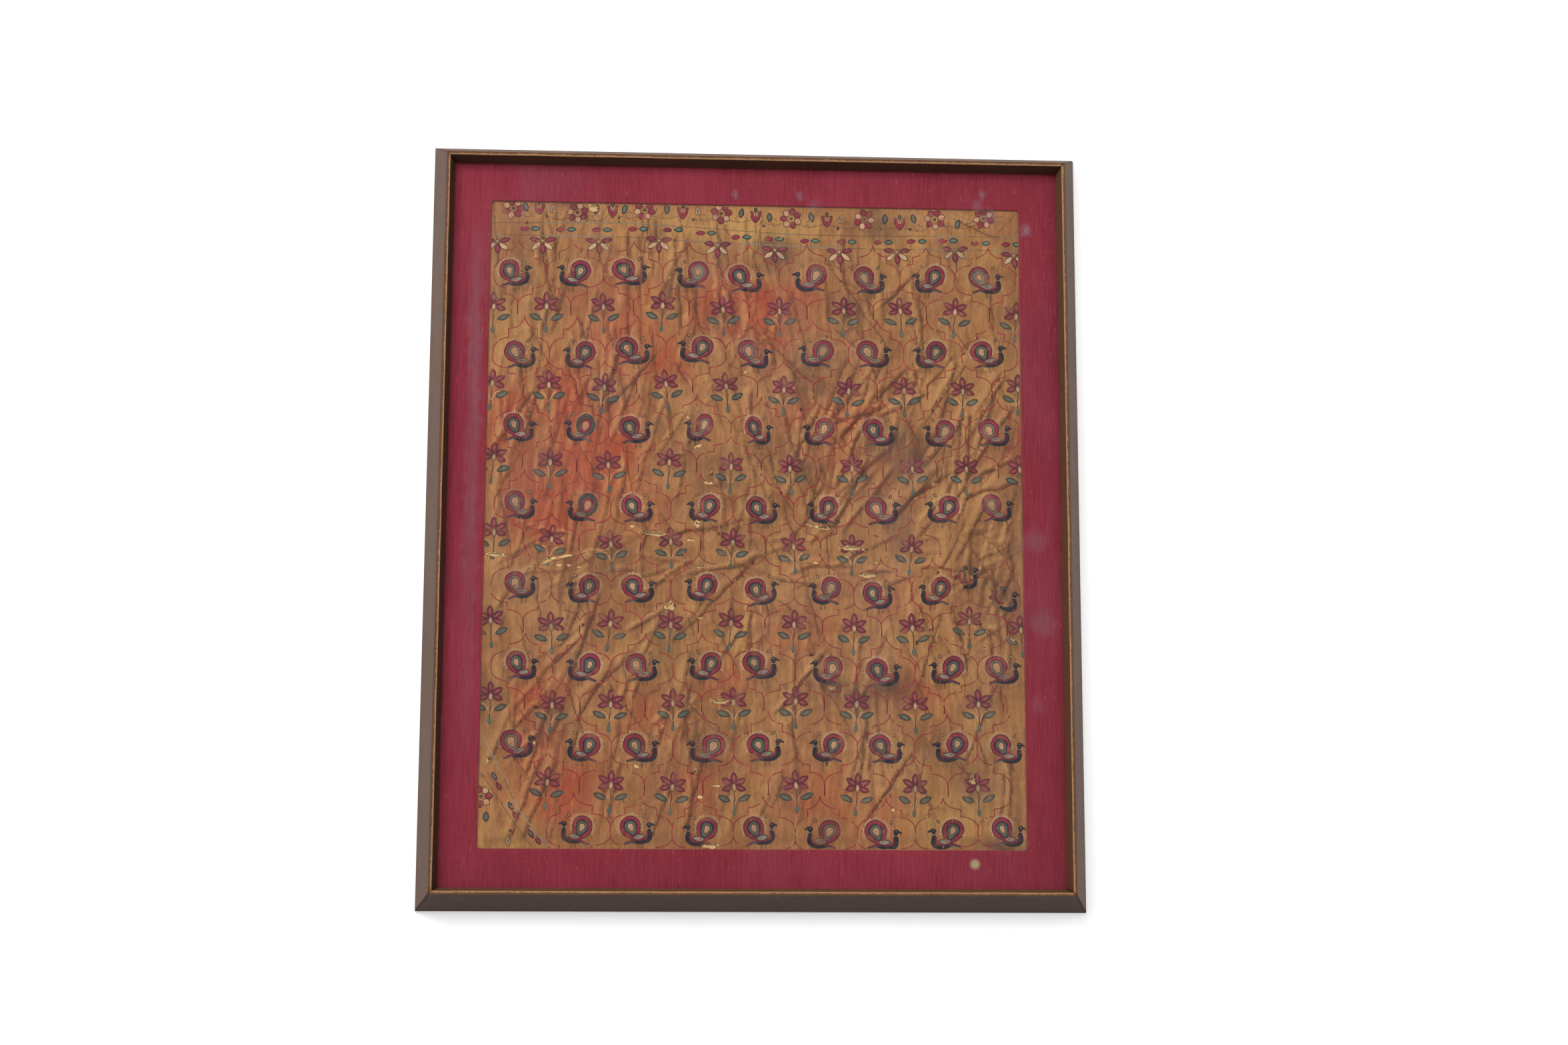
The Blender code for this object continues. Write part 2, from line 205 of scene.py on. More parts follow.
# Where the silk is lost: middle, length, height, turn in degrees
Loss = namedtuple("Loss", "x y length height turn")
LOSSES = [Loss(*row) for row in (
    (-171.1, 330.5, 12.5, 7.0, -20), (-177.4, 315.9, 4.5, 3.6, 0), (-9.9, 156.4, 7.0, 2.4, -6),
    (-69.8, 108.0, 3.6, 3.6, 0), (-59.2, 77.4, 10.7, 3.0, 25), (-49.6, 39.0, 17.9, 2.6, -4),
    (-103.3, -14.9, 25.1, 4.2, -3), (-126.3, -7.3, 5.4, 2.7, 0), (-58.5, -4.1, 8.9, 7.2, 20),
    (-266.2, -38.4, 24.0, 5.0, -2), (-213.4, -43.9, 14.3, 4.6, 18), (-195.3, -39.1, 19.0, 2.6, 8),
    (-200.6, -48.4, 8.9, 2.4, -2), (-190.4, -48.6, 6.0, 2.2, 0), (-180.0, -50.1, 6.0, 2.2, 0),
    (-65.7, -21.0, 8.9, 2.5, 0), (-55.4, -48.1, 9.8, 3.6, 10), (-87.0, -89.6, 10.7, 8.1, 10),
    (-55.9, -101.3, 12.5, 2.2, 0), (56.5, -4.1, 12.5, 2.4, -4), (70.9, -6.9, 17.0, 3.9, -6),
    (101.8, -27.8, 26.5, 4.2, -2), (62.1, -43.7, 7.2, 2.5, 0), (123.9, -43.0, 7.2, 2.5, 0),
    (117.9, -55.7, 17.9, 5.0, 2), (-34.0, -187.0, 17.9, 4.6, 3), (-222.3, -230.0, 4.5, 3.2, 0),
    (-118.5, -253.7, 7.2, 2.9, -30), (-59.8, -258.7, 6.0, 3.6, 0), (-55.4, -283.9, 7.2, 3.2, 0),
    (-38.9, -273.0, 14.3, 2.2, 0), (-43.0, -333.0, 19.7, 4.6, 0), (-270.3, -249.2, 7.2, 3.6, 60),
    (79.5, -172.5, 5.4, 3.6, 0), (142.0, -296.0, 5.4, 3.2, 0), (222.5, -266.1, 5.4, 6.3, 0),
    (236.8, -129.9, 5.4, 3.6, 0), (236.6, -304.9, 5.4, 3.6, 0), (266.1, -120.3, 5.4, 4.5, 30),
)]

# Dull spots on the glass: middle, radius and how much they hide
SMUDGES = [
    (-22, 346, 5, 0.14), (45, 346, 6, 0.12), (60, 335, 9, 0.06), (239, 352, 6, 0.14),
    (234, 340, 7, 0.09), (246, 328, 9, 0.08), (284, 313, 7, 0.20), (290, -20, 15, 0.06),
    (296, -104, 16, 0.06), (290, -190, 12, 0.04),
]

# A pale streak of glare down the left of the glass, a painted reflection: axis, and where it is
# gone and full, in metres
GLARE_EDGES = [(0, -0.294, -0.286), (0, -0.274, -0.281), (1, -0.28, 0.0), (1, 0.33, 0.2)]

# Middle of a pale spot on the mat, in metres
SPOT = (0.2234, -0.3506, 0.0244)

# Thread colours, in sRGB from 0 to 255
THREADS = {
    "crimson": (124, 34, 50),
    "wine": (78, 28, 40),
    "rose": (134, 56, 66),
    "navy": (22, 26, 38),
    "teal": (78, 88, 80),
    "grey": (112, 100, 86),
    "brick": (138, 36, 38),
    "cream": (188, 148, 114),
    "pale": (216, 182, 144),
    "pearl": (142, 132, 116),
    "apricot": (186, 124, 86),
    "olive": (88, 64, 40),
    "sage": (98, 99, 83),
    "red": (150, 36, 56),
    "peach": (206, 150, 120),
    "green": (74, 106, 94),
    "light green": (100, 124, 106),
    "moss": (50, 52, 44),
}

# What worn thread fades to, in sRGB from 0 to 255
FADED = (150, 106, 76)

# Half widths and lifts of a link and of the waist between two, the share of the full width up to
# which a row has a thin waist, a fine row's share, how deep a row's edges sink, and its wandering
LINK_HALF = 0.84
WAIST_HALF = 0.74
THIN_WAIST_HALF = 0.36
LINK_LIFT = 0.36
WAIST_LIFT = 0.16
NARROW = 0.8
FINE_WIDTH = 0.56
EDGE_SINK = 0.12
WANDER = 0.35

# Rows worked in finer thread, and its colour
FINE_THREADS = {
    "ray": "pale", "faint ray": "cream", "collar": "pale", "foot": "olive", "vine": "moss",
    "pale stem": "pale", "stem": "cream",
}

# Threads of what is worked often, from the edge inwards
PETAL = ["wine", "crimson", "rose"]
RED_PETAL = ["wine", "red", "red"]
PALE_PETAL = ["olive", "cream", "cream"]

# Threads of a bird's fan, from its rim inwards
FANS = {
    "teal": "wine crimson red crimson wine navy teal teal olive cream cream",
    "grey": "wine crimson red rose wine grey grey olive cream apricot cream",
    "faded": "wine crimson rose crimson grey teal grey pearl olive apricot cream",
    "turned": "navy teal navy teal wine crimson crimson rose apricot cream cream",
}

# Birds, row by row: middle of the fan, and where the head is from there
Bird = namedtuple("Bird", "x y head_x head_y look")
BIRDS = [Bird(*row) for row in (
    (-257.9, 262.6, 19.0, 4.8, "teal"), (-183.4, 262.6, -19.6, 4.5, "teal"),
    (-139.0, 265.4, 22.0, 3.6, "teal"), (-60.4, 263.9, -19.6, 3.5, "faded"),
    (-17.9, 260.8, 21.0, 2.3, "teal"), (63.3, 262.8, -20.1, 2.5, "grey"),
    (113.4, 261.3, 19.2, 2.7, "grey"), (188.3, 263.4, -18.9, 2.2, "teal"),
    (235.1, 263.5, 20.4, 1.1, "faded"), (-250.5, 175.4, 19.5, 3.2, "grey"),
    (-177.0, 176.0, -18.6, 3.2, "teal"), (-134.5, 181.1, 21.3, 3.2, "teal"),
    (-55.6, 183.3, -20.5, 3.5, "teal"), (-8.1, 180.3, 19.6, 0.9, "grey"),
    (70.4, 181.1, -20.5, 2.9, "grey"), (116.3, 181.2, 20.7, 3.4, "grey"),
    (189.2, 182.0, -19.4, 2.6, "teal"), (236.6, 182.4, 20.8, 4.9, "teal"),
    (-250.0, 98.6, 19.2, 2.7, "teal"), (-175.6, 98.4, -17.5, 3.5, "turned"),
    (-130.8, 97.1, 19.7, 5.0, "teal"), (-52.9, 101.0, -16.6, 2.6, "grey"),
    (-2.0, 98.9, 15.7, 1.2, "teal"), (71.9, 98.1, -18.2, 2.6, "grey"),
    (122.2, 97.8, 20.0, 3.7, "teal"), (197.8, 97.4, -18.3, 4.1, "grey"),
    (243.2, 99.5, 19.7, 3.2, "grey"), (-247.0, 17.8, 18.7, 2.1, "grey"),
    (-171.9, 15.0, -18.0, 3.5, "turned"), (-127.5, 14.6, 19.2, 3.1, "teal"),
    (-46.7, 15.6, -19.0, 3.5, "teal"), (1.1, 14.3, 19.4, 3.1, "teal"),
    (75.9, 15.2, -17.5, 4.5, "teal"), (125.0, 14.9, 20.5, 4.4, "grey"),
    (201.2, 17.3, -19.8, 3.9, "teal"), (245.1, 19.7, 18.7, 2.9, "grey"),
    (-245.3, -66.4, 18.6, 5.7, "grey"), (-169.3, -69.3, -19.1, 3.5, "teal"),
    (-125.6, -68.8, 20.1, 3.9, "teal"), (-48.8, -67.1, -18.4, 4.4, "teal"),
    (0.6, -71.2, 19.2, 6.6, "teal"), (78.6, -68.6, -18.4, 3.5, "grey"),
    (121.0, -73.7, 18.5, 5.7, "teal"), (192.2, -67.4, -18.5, 2.0, "teal"),
    (251.8, -72.4, 17.0, 0.0, "lost"), (214.0, -52.0, 14.0, 4.0, "lost"),
    (-242.3, -147.8, 18.4, 2.0, "teal"), (-167.4, -149.9, -19.5, 3.5, "teal"),
    (-120.7, -149.5, 19.1, 3.9, "grey"), (-44.0, -147.9, -19.5, 3.5, "teal"),
    (-0.9, -146.6, 20.9, 3.8, "teal"), (80.4, -151.4, -18.3, 6.2, "grey"),
    (125.3, -152.9, 20.2, 3.8, "teal"), (204.0, -149.5, -19.9, 1.7, "teal"),
    (248.2, -149.1, 20.7, 2.9, "grey"), (-246.0, -228.4, 20.0, 4.7, "grey"),
    (-166.5, -231.5, -19.9, 4.4, "teal"), (-121.5, -231.2, 20.8, 2.9, "teal"),
    (-41.0, -231.5, -21.8, 4.3, "grey"), (4.0, -230.3, 20.8, 4.6, "teal"),
    (81.2, -229.8, -19.6, 3.5, "teal"), (128.3, -230.4, 20.1, 1.9, "teal"),
    (207.6, -228.1, -20.4, 1.7, "teal"), (252.2, -229.6, 19.3, 2.0, "teal"),
    (-172.8, -314.0, -18.5, 4.4, "teal"), (-124.4, -313.8, 19.2, 2.8, "teal"),
    (-47.1, -315.2, -19.4, 2.6, "teal"), (-0.2, -314.1, 18.9, 2.8, "teal"),
    (76.6, -317.3, -19.9, 2.6, "grey"), (123.7, -317.1, 20.9, 1.0, "teal"),
    (202.3, -315.8, -20.4, 0.8, "teal"), (252.4, -313.8, 19.0, 1.0, "teal"),
)]

# Heights of the rows of birds, and how far from them and from a flower a row's birds can stand
BIRD_ROWS = (262, 180, 98, 16, -69, -150, -230, -315)
ROW_REACH = 14
SIDE_REACH = 48

# The lattice: length of its pinch between two birds, its gap under a flower's middle, how far it
# falls from the last birds, and where it starts under the border
PINCH = 9.2
FLOWER_GAP = 12
LAST_FALL = 36
BORDER_FOOT = 296

# Flower sprigs, row by row: the middles from left to right
FLOWER_ROWS = [
    [(-273.2, 225.6), (-218.3, 226.5), (-159.6, 226.6), (-97.6, 229.5), (-34.9, 225.8),
     (24.5, 225.4), (92.0, 226.6), (151.3, 227.6), (209.4, 227.6), (274.0, 223.9)],
    [(-272.7, 143.8), (-214.3, 142.8), (-156.9, 140.8), (-93.7, 145.6), (-31.2, 143.7),
     (29.4, 141.3), (97.1, 140.4), (154.9, 142.2), (216.4, 142.2), (274.8, 146.0)],
    [(-269.4, 66.1), (-211.3, 61.2), (-152.0, 59.2), (-88.9, 62.9), (-25.2, 59.0),
     (35.7, 57.9), (100.1, 58.8), (163.0, 58.7), (219.4, 59.4), (275.5, 60.1)],
    [(-267.7, -12.1), (-208.4, -18.9), (-148.4, -23.8), (-86.8, -20.3), (-22.9, -20.5),
     (39.6, -24.4), (100.3, -25.6), (161.9, -24.9)],
    [(-269.3, -103.3), (-207.7, -109.2), (-147.3, -105.8), (-85.9, -106.2), (-24.2, -103.8),
     (40.6, -105.0), (102.1, -108.1), (161.9, -107.5), (221.4, -99.6), (274.1, -108.3)],
    [(-267.4, -180.7), (-205.1, -189.2), (-146.1, -187.9), (-82.7, -186.5), (-21.3, -185.1),
     (42.0, -183.7), (104.5, -186.0), (164.5, -187.4), (229.4, -185.1)],
    [(-208.2, -266.8), (-144.4, -270.0), (-82.2, -271.4), (-20.3, -271.1), (42.2, -268.9),
     (105.4, -271.3), (164.0, -271.9), (227.9, -270.6)],
]
HANGING_FLOWERS = [
    (-270.9, 293.4), (-223.9, 294.2), (-165.3, 294.4), (-102.4, 297.0), (-40.9, 292.8),
    (19.3, 288.6), (87.4, 287.9), (148.2, 289.1), (209.4, 292.1), (272.5, 287.5),
]

# Border along the top, and its turn down the lower left corner
BORDER_LINES = [
    [(-277, 313.0), (-204, 314.0), (-132, 314.6), (-70, 312.0), (-6, 308.0), (68, 305.5),
     (163, 306.5), (277, 307.5)],
    [(-277, 300.0), (-205, 299.9), (-134, 299.6), (-69, 296.6), (-3, 294.2), (116, 291.8),
     (277, 292.9)],
    [(-275.4, -221.4), (-256.7, -257.2), (-239.0, -292.9), (-222.4, -316.0), (-205, -335.5)],
    [(-275.4, -260.9), (-262.5, -278.7), (-245.9, -303.6), (-222.1, -335.6)],
]
# How bare each of these lines is of pale stitches, from -1 to 1
BORDER_BARE = (0.15, -0.25, -0.1, 0.6)
LEAF_PAIRS = [
    (-236.9, 307.0), (-199.6, 306.7), (-162.3, 306.9), (-124.4, 308.5), (-87.9, 308.5),
    (-53.0, 305.4), (-16.0, 301.7), (18.7, 300.3), (56.4, 299.1), (95.2, 298.8), (133.7, 299.2),
    (169.1, 300.4), (202.5, 301.6), (237.0, 299.7), (269.7, 299.2),
]
CORNER_LEAVES = [
    (-261.9, -264.4, "teal"), (-257.3, -274.2, "crimson"), (-244.7, -293.8, "teal"),
    (-239.7, -303.2, "crimson"), (-224.1, -321.3, "teal"), (-216.8, -328.4, "crimson"),
]
HEARTS = [
    (-228.0, 330.4), (-150.9, 329.0), (-77.4, 328.5), (-1.0, 326.0), (74.3, 322.2), (151.4, 320.8),
]
BLOSSOMS = [
    (-255.0, 328.9), (-187.8, 325.4), (-117.7, 329.6), (-37.0, 327.3), (36.5, 323.4),
    (114.0, 323.6), (188.6, 325.0), (240.8, 327.1), (-274.5, -284.6),
]
SPRAY_LEAVES = [
    (-138.5, 330.1), (-94.2, 331.5), (-61.9, 329.6), (-15.8, 328.3), (13.7, 324.3), (58.1, 325.1),
    (89.6, 323.8), (135.7, 324.7), (166.0, 325.3), (212.8, 320.0), (-214.0, 329.0), (-242.0, 331.0),
    (-168.0, 329.5), (-269.4, -304.9), (-246.9, -329.2),
]
BUDS = [
    (-144.0, 320.3), (-66.5, 319.8), (7.5, 314.8), (85.8, 313.0), (162.2, 313.6), (-220.0, 320.6),
    (-244.8, -318.5),
]
LOOSE_VINES = [(208.8, 331.6, 248.5, 307.0), (215, 318, 262, 330), (256, 312, 274, 332)]


def linear(colour):
    """Linear colour with alpha, from sRGB values from 0 to 255."""
    shares = np.array(colour, dtype=float) / 255
    low = shares / 12.92
    high = ((shares + 0.055) / 1.055) ** 2.4
    return tuple(np.where(shares <= 0.04045, low, high)) + (1.0,)


def noise(x, y, size, seed):
    """Smooth seeded noise from -1 to 1 over a plane, with lumps of about this size."""
    table = np.random.default_rng(seed).uniform(-1, 1, (64, 64))
    u = np.asarray(x) / size + 1000
    v = np.asarray(y) / size + 1000
    left = np.floor(u).astype(int)
    down = np.floor(v).astype(int)
    share_u = (u - left) ** 2 * (3 - 2 * (u - left))
    share_v = (v - down) ** 2 * (3 - 2 * (v - down))
    lower = table[left % 64, down % 64] * (1 - share_u) + table[(left + 1) % 64, down % 64] * share_u
    upper = table[left % 64, (down + 1) % 64] * (1 - share_u)
    upper = upper + table[(left + 1) % 64, (down + 1) % 64] * share_u
    return lower * (1 - share_v) + upper * share_v


def smooth_step(values):
    """A soft way from 0 to 1."""
    share = np.clip(values, 0, 1)
    return share * share * (3 - 2 * share)


def make_fine_creases():
    """Finer creases, scattered in the directions that each part of the cloth is pulled in."""
    scatter = np.random.default_rng(5)
    creases = []
    for group in GROUPS:
        for _ in range(group.count):
            x = group.x + scatter.uniform(-1, 1) * group.spread_x
            y = group.y + scatter.uniform(-1, 1) * group.spread_y
            angle = math.radians(group.angle + scatter.normal() * group.turn * 0.6)
            half = group.length * scatter.uniform(0.25, 0.8)
            run_x = math.cos(angle) * half
            run_y = math.sin(angle) * half
            width = group.width * scatter.uniform(0.7, 1.5)
            height = group.height * scatter.uniform(0.5, 1.4)
            creases.append(Crease(x - run_x, y - run_y, x + run_x, y + run_y, width, height))
    return creases


FINE_CREASES = make_fine_creases()


def wandered(x, y):
    """Points shifted a little, so that straight creases wander as they do in cloth."""
    shift_x = 1.5 * noise(x, y, 17, 41) + 0.5 * noise(x, y, 6, 42)
    shift_y = 1.5 * noise(x, y, 17, 43) + 0.5 * noise(x, y, 6, 44)
    return x + shift_x, y + shift_y


def along_crease(crease, x, y):
    """Distance across a crease, and distance beyond its ends, both in mm."""
    x, y = wandered(x, y)
    run_x = crease.x1 - crease.x0
    run_y = crease.y1 - crease.y0
    length = math.hypot(run_x, run_y)
    along = ((x - crease.x0) * run_x + (y - crease.y0) * run_y) / length
    across = ((x - crease.x0) * run_y - (y - crease.y0) * run_x) / length
    return across, np.maximum(np.maximum(-along, along - length), 0.0)


def near_crease(crease, x, y, reach):
    """Indices of the points that a crease can touch."""
    in_x = (x > min(crease.x0, crease.x1) - reach) & (x < max(crease.x0, crease.x1) + reach)
    in_y = (y > min(crease.y0, crease.y1) - reach) & (y < max(crease.y0, crease.y1) + reach)
    return np.nonzero(in_x & in_y)[0]


def crumple(x, y, layer):
    """A crumpled sheet's creases as the edges of uneven cells.

    Gives the distance to the nearest edge in mm, the way to it, and how close the middle of the
    cell is, from 0 at its edges to 1.
    """
    turn = math.radians(layer.turn)
    table = np.random.default_rng(layer.seed).uniform(0.08, 0.92, (64, 64, 2))
    bent_x = x + 7 * noise(x, y, 40, layer.seed + 1)
    bent_y = y + 7 * noise(x, y, 40, layer.seed + 2)
    u = (bent_x * math.cos(turn) + bent_y * math.sin(turn)) / layer.size_x + 500
    v = (-bent_x * math.sin(turn) + bent_y * math.cos(turn)) / layer.size_y + 500
    cell_u, cell_v = np.floor(u).astype(int), np.floor(v).astype(int)
    first = np.full(len(x), 99.0)
    second = np.full(len(x), 99.0)
    near_u, near_v, next_u, next_v = (np.zeros(len(x)) for _ in range(4))
    for step_u in range(-2, 3):
        for step_v in range(-2, 3):
            shift = table[(cell_u + step_u) % 64, (cell_v + step_v) % 64]
            seed_u = cell_u + step_u + shift[:, 0]
            seed_v = cell_v + step_v + shift[:, 1]
            far = (seed_u - u) ** 2 + (seed_v - v) ** 2
            closer = far < first
            between = ~closer & (far < second)
            second = np.where(closer, first, np.where(between, far, second))
            next_u = np.where(closer, near_u, np.where(between, seed_u, next_u))
            next_v = np.where(closer, near_v, np.where(between, seed_v, next_v))
            first = np.where(closer, far, first)
            near_u = np.where(closer, seed_u, near_u)
            near_v = np.where(closer, seed_v, near_v)
    apart = np.maximum(np.hypot(next_u - near_u, next_v - near_v), 1e-6)
    edge = (second - first) / (2 * apart)
    slope_u = (next_u - near_u) / apart / layer.size_x
    slope_v = (next_v - near_v) / apart / layer.size_y
    steepness = np.hypot(slope_u, slope_v)
    way_x = (slope_u * math.cos(turn) - slope_v * math.sin(turn)) / steepness
    way_y = (slope_u * math.sin(turn) + slope_v * math.cos(turn)) / steepness
    return edge / steepness, way_x, way_y, np.clip(1 - 1.6 * first, 0, 1)


def crumple_strength(x, y, layer):
    """How strongly a layer's creases show: in patches, and only in its part of the cloth."""
    patchy = smooth_step(0.5 + 1.3 * noise(x, y, 1.3 * layer.size_y, layer.seed + 3))
    here = np.exp(-(((x - layer.x) / layer.reach_x) ** 2) - ((y - layer.y) / layer.reach_y) ** 2)
    return patchy * here


def crease_side(layer, x, y):
    """1 where a network's creases are ridges, and less than 0 where they are troughs."""
    return np.where(noise(x, y, 55, layer.seed + 4) > -0.1, 1.0, -0.8)


def fold_section(crease, across):
    """Height of a fold across its line: a steep side away from the light, then a gentle fall."""
    facing = (crease.y1 - crease.y0) * LIT_SIDE[0] - (crease.x1 - crease.x0) * LIT_SIDE[1]
    away = across if facing < 0 else -across
    rise = smooth_step(-away / CREST)
    fall = np.exp(-(np.maximum(-away - CREST, 0) / crease.width) ** 1.5)
    return rise * fall


def cloth_height(x, y):
    """Height of the cloth above its flat border, in mm, as in the solid but with finer creases."""
    height = np.full(len(x), LOFT_HEIGHT)
    for layer in CRUMPLES:
        distance, _, _, middle = crumple(x, y, layer)
        strength = crumple_strength(x, y, layer)
        crest = np.exp(-((distance / layer.width) ** 1.4))
        height += layer.height * strength * crease_side(layer, x, y) * crest
        height += layer.puff * strength * (middle - 0.5)
    for ripple in RIPPLES:
        turn = math.radians(ripple.angle)
        along = x * math.cos(turn) + y * math.sin(turn)
        across = (y * math.cos(turn) - x * math.sin(turn)) * ripple.length / ripple.width
        here = np.exp(-((x - ripple.x) ** 2 + (y - ripple.y) ** 2) / ripple.reach**2)
        height += ripple.height * here * noise(across, along, ripple.length, ripple.seed)
    kinds = ((CREASES, MAIN_GAIN, 3, None), (FINE_CREASES, FINE_GAIN, 4, FINE_TAIL))
    for creases, gain, reach, tail in kinds:
        for crease in creases:
            near = near_crease(crease, x, y, reach * crease.width)
            across, beyond = along_crease(crease, x[near], y[near])
            fall = np.exp(-((beyond / (tail or crease.width)) ** 2))
            height[near] += gain * crease.height * fall * fold_section(crease, across)
    for swell in SWELLS:
        wave = 2 * math.pi * (x / swell.across + y / swell.along)
        height += swell.height * np.sin(wave + swell.phase)
    height += 0.08 * noise(x, y, 9, 31)
    edge_x = WINDOW_WIDTH / 2 - np.abs(x)
    edge_y = WINDOW_HEIGHT / 2 - np.abs(y)
    fade = smooth_step((np.minimum(edge_x, edge_y) - EDGE_CLEARANCE) / EDGE_FADE)
    level = MOST_HEIGHT * np.tanh(height / MOST_HEIGHT)
    return np.maximum(level, LEAST_HEIGHT) * fade


def crease_marks(x, y):
    """Distance to the crease whose painted shade line marks each point most, in mm, and how strongly it does.
    """
    distance = np.full(len(x), MARK_REACH)
    dark = np.zeros(len(x))

    def mark(points, away, strength):
        nearer = away / np.maximum(strength, 0.05) < distance[points] / np.maximum(dark[points], 0.05)
        chosen = points[nearer]
        distance[chosen] = np.minimum(away, MARK_REACH)[nearer]
        dark[chosen] = strength[nearer]

    for layer in CRUMPLES:
        away, _, _, _ = crumple(x, y, layer)
        mark(np.arange(len(x)), away, 0.45 * crumple_strength(x, y, layer))
    for crease in CREASES + FINE_CREASES:
        near = near_crease(crease, x, y, MARK_REACH + 3)
        across, beyond = along_crease(crease, x[near], y[near])
        strongest = 1.2 if crease.width > 5 else min(1.0, crease.height) * rng.uniform(0.2, 1.2)
        strength = strongest * np.exp(-((beyond / 4) ** 2))
        mark(near, np.abs(across) + 0.3 * beyond, strength)
    dark *= 0.72 + 0.38 * noise(x, y, 14, 61)
    return distance, np.clip(dark, 0, 1)


def stain_share(stains, x, y, seed):
    """How strongly a group of stains marks each point, with uneven edges."""
    pushed_x = x + 9 * noise(x, y, 22, seed) + 4 * noise(x, y, 8, seed + 1)
    pushed_y = y + 9 * noise(x, y, 22, seed + 2) + 4 * noise(x, y, 8, seed + 3)
    share = np.zeros(len(x))
    for stain in stains:
        far = ((pushed_x - stain.x) / stain.reach_x) ** 2 + ((pushed_y - stain.y) / stain.reach_y) ** 2
        share = np.maximum(share, stain.strength * np.exp(-far)) + 0.25 * stain.strength * np.exp(-far)
    return np.clip(share, 0, 1)


def motif_halo(x, y):
    """Dye that has run and dirt that has settled round the birds and flowers, unevenly."""
    scatter = np.random.default_rng(17)
    places = [(bird.x + 0.5 * bird.head_x, bird.y - 6) for bird in BIRDS]
    places += [place for row in FLOWER_ROWS for place in row] + HANGING_FLOWERS
    pushed_x = x + 8 * noise(x, y, 14, 71)
    pushed_y = y + 8 * noise(x, y, 14, 72)
    share = np.zeros(len(x))
    for motif_x, motif_y in places:
        strength = scatter.uniform(0.0, 0.62)
        reach = scatter.uniform(12, 20)
        shift_x, shift_y = scatter.uniform(-5, 5, 2)
        far = ((pushed_x - motif_x - shift_x) ** 2 + (pushed_y - motif_y - shift_y) ** 2) / reach**2
        share = np.maximum(share, strength * np.exp(-far))
    return share


def loss_edge(loss, x, y, seed):
    """Distance from a loss's middle as a share of the way to its ragged edge."""
    turn = math.radians(loss.turn)
    u = (x - loss.x) * math.cos(turn) + (y - loss.y) * math.sin(turn)
    v = -(x - loss.x) * math.sin(turn) + (y - loss.y) * math.cos(turn)
    angle = np.arctan2(v / loss.height, u / loss.length)
    ragged = 1 + 0.16 * np.sin(3 * angle + seed) + 0.14 * np.sin(5 * angle + 2.3 * seed)
    return np.hypot(2 * u / loss.length, 2 * v / loss.height) / ragged


def add_mesh(name, points, faces, material, extra_faces=(), **attributes):
    """A smooth mesh from points in mm, with float or colour attributes at its points."""
    faces = np.asarray(faces)
    used = np.unique(np.concatenate([faces.ravel()] + [np.array(f) for f in extra_faces]).astype(int))
    place = np.zeros(len(points), dtype=int)
    place[used] = np.arange(len(used))
    quads = place[faces].tolist() + [place[np.array(face)].tolist() for face in extra_faces]
    mesh = bpy.data.meshes.new(name)
    mesh.from_pydata((np.asarray(points)[used] * MM).tolist(), [], quads)
    for key, values in attributes.items():
        values = np.asarray(values)[used]
        is_colour = values.ndim == 2
        layer = mesh.attributes.new(key, "FLOAT_COLOR" if is_colour else "FLOAT", "POINT")
        layer.data.foreach_set("color" if is_colour else "value", values.astype(np.float32).ravel())
    mesh.polygons.foreach_set("use_smooth", [True] * len(mesh.polygons))
    mesh.materials.append(material)
    obj = bpy.data.objects.new(name, mesh)
    bpy.context.scene.collection.objects.link(obj)
    return obj


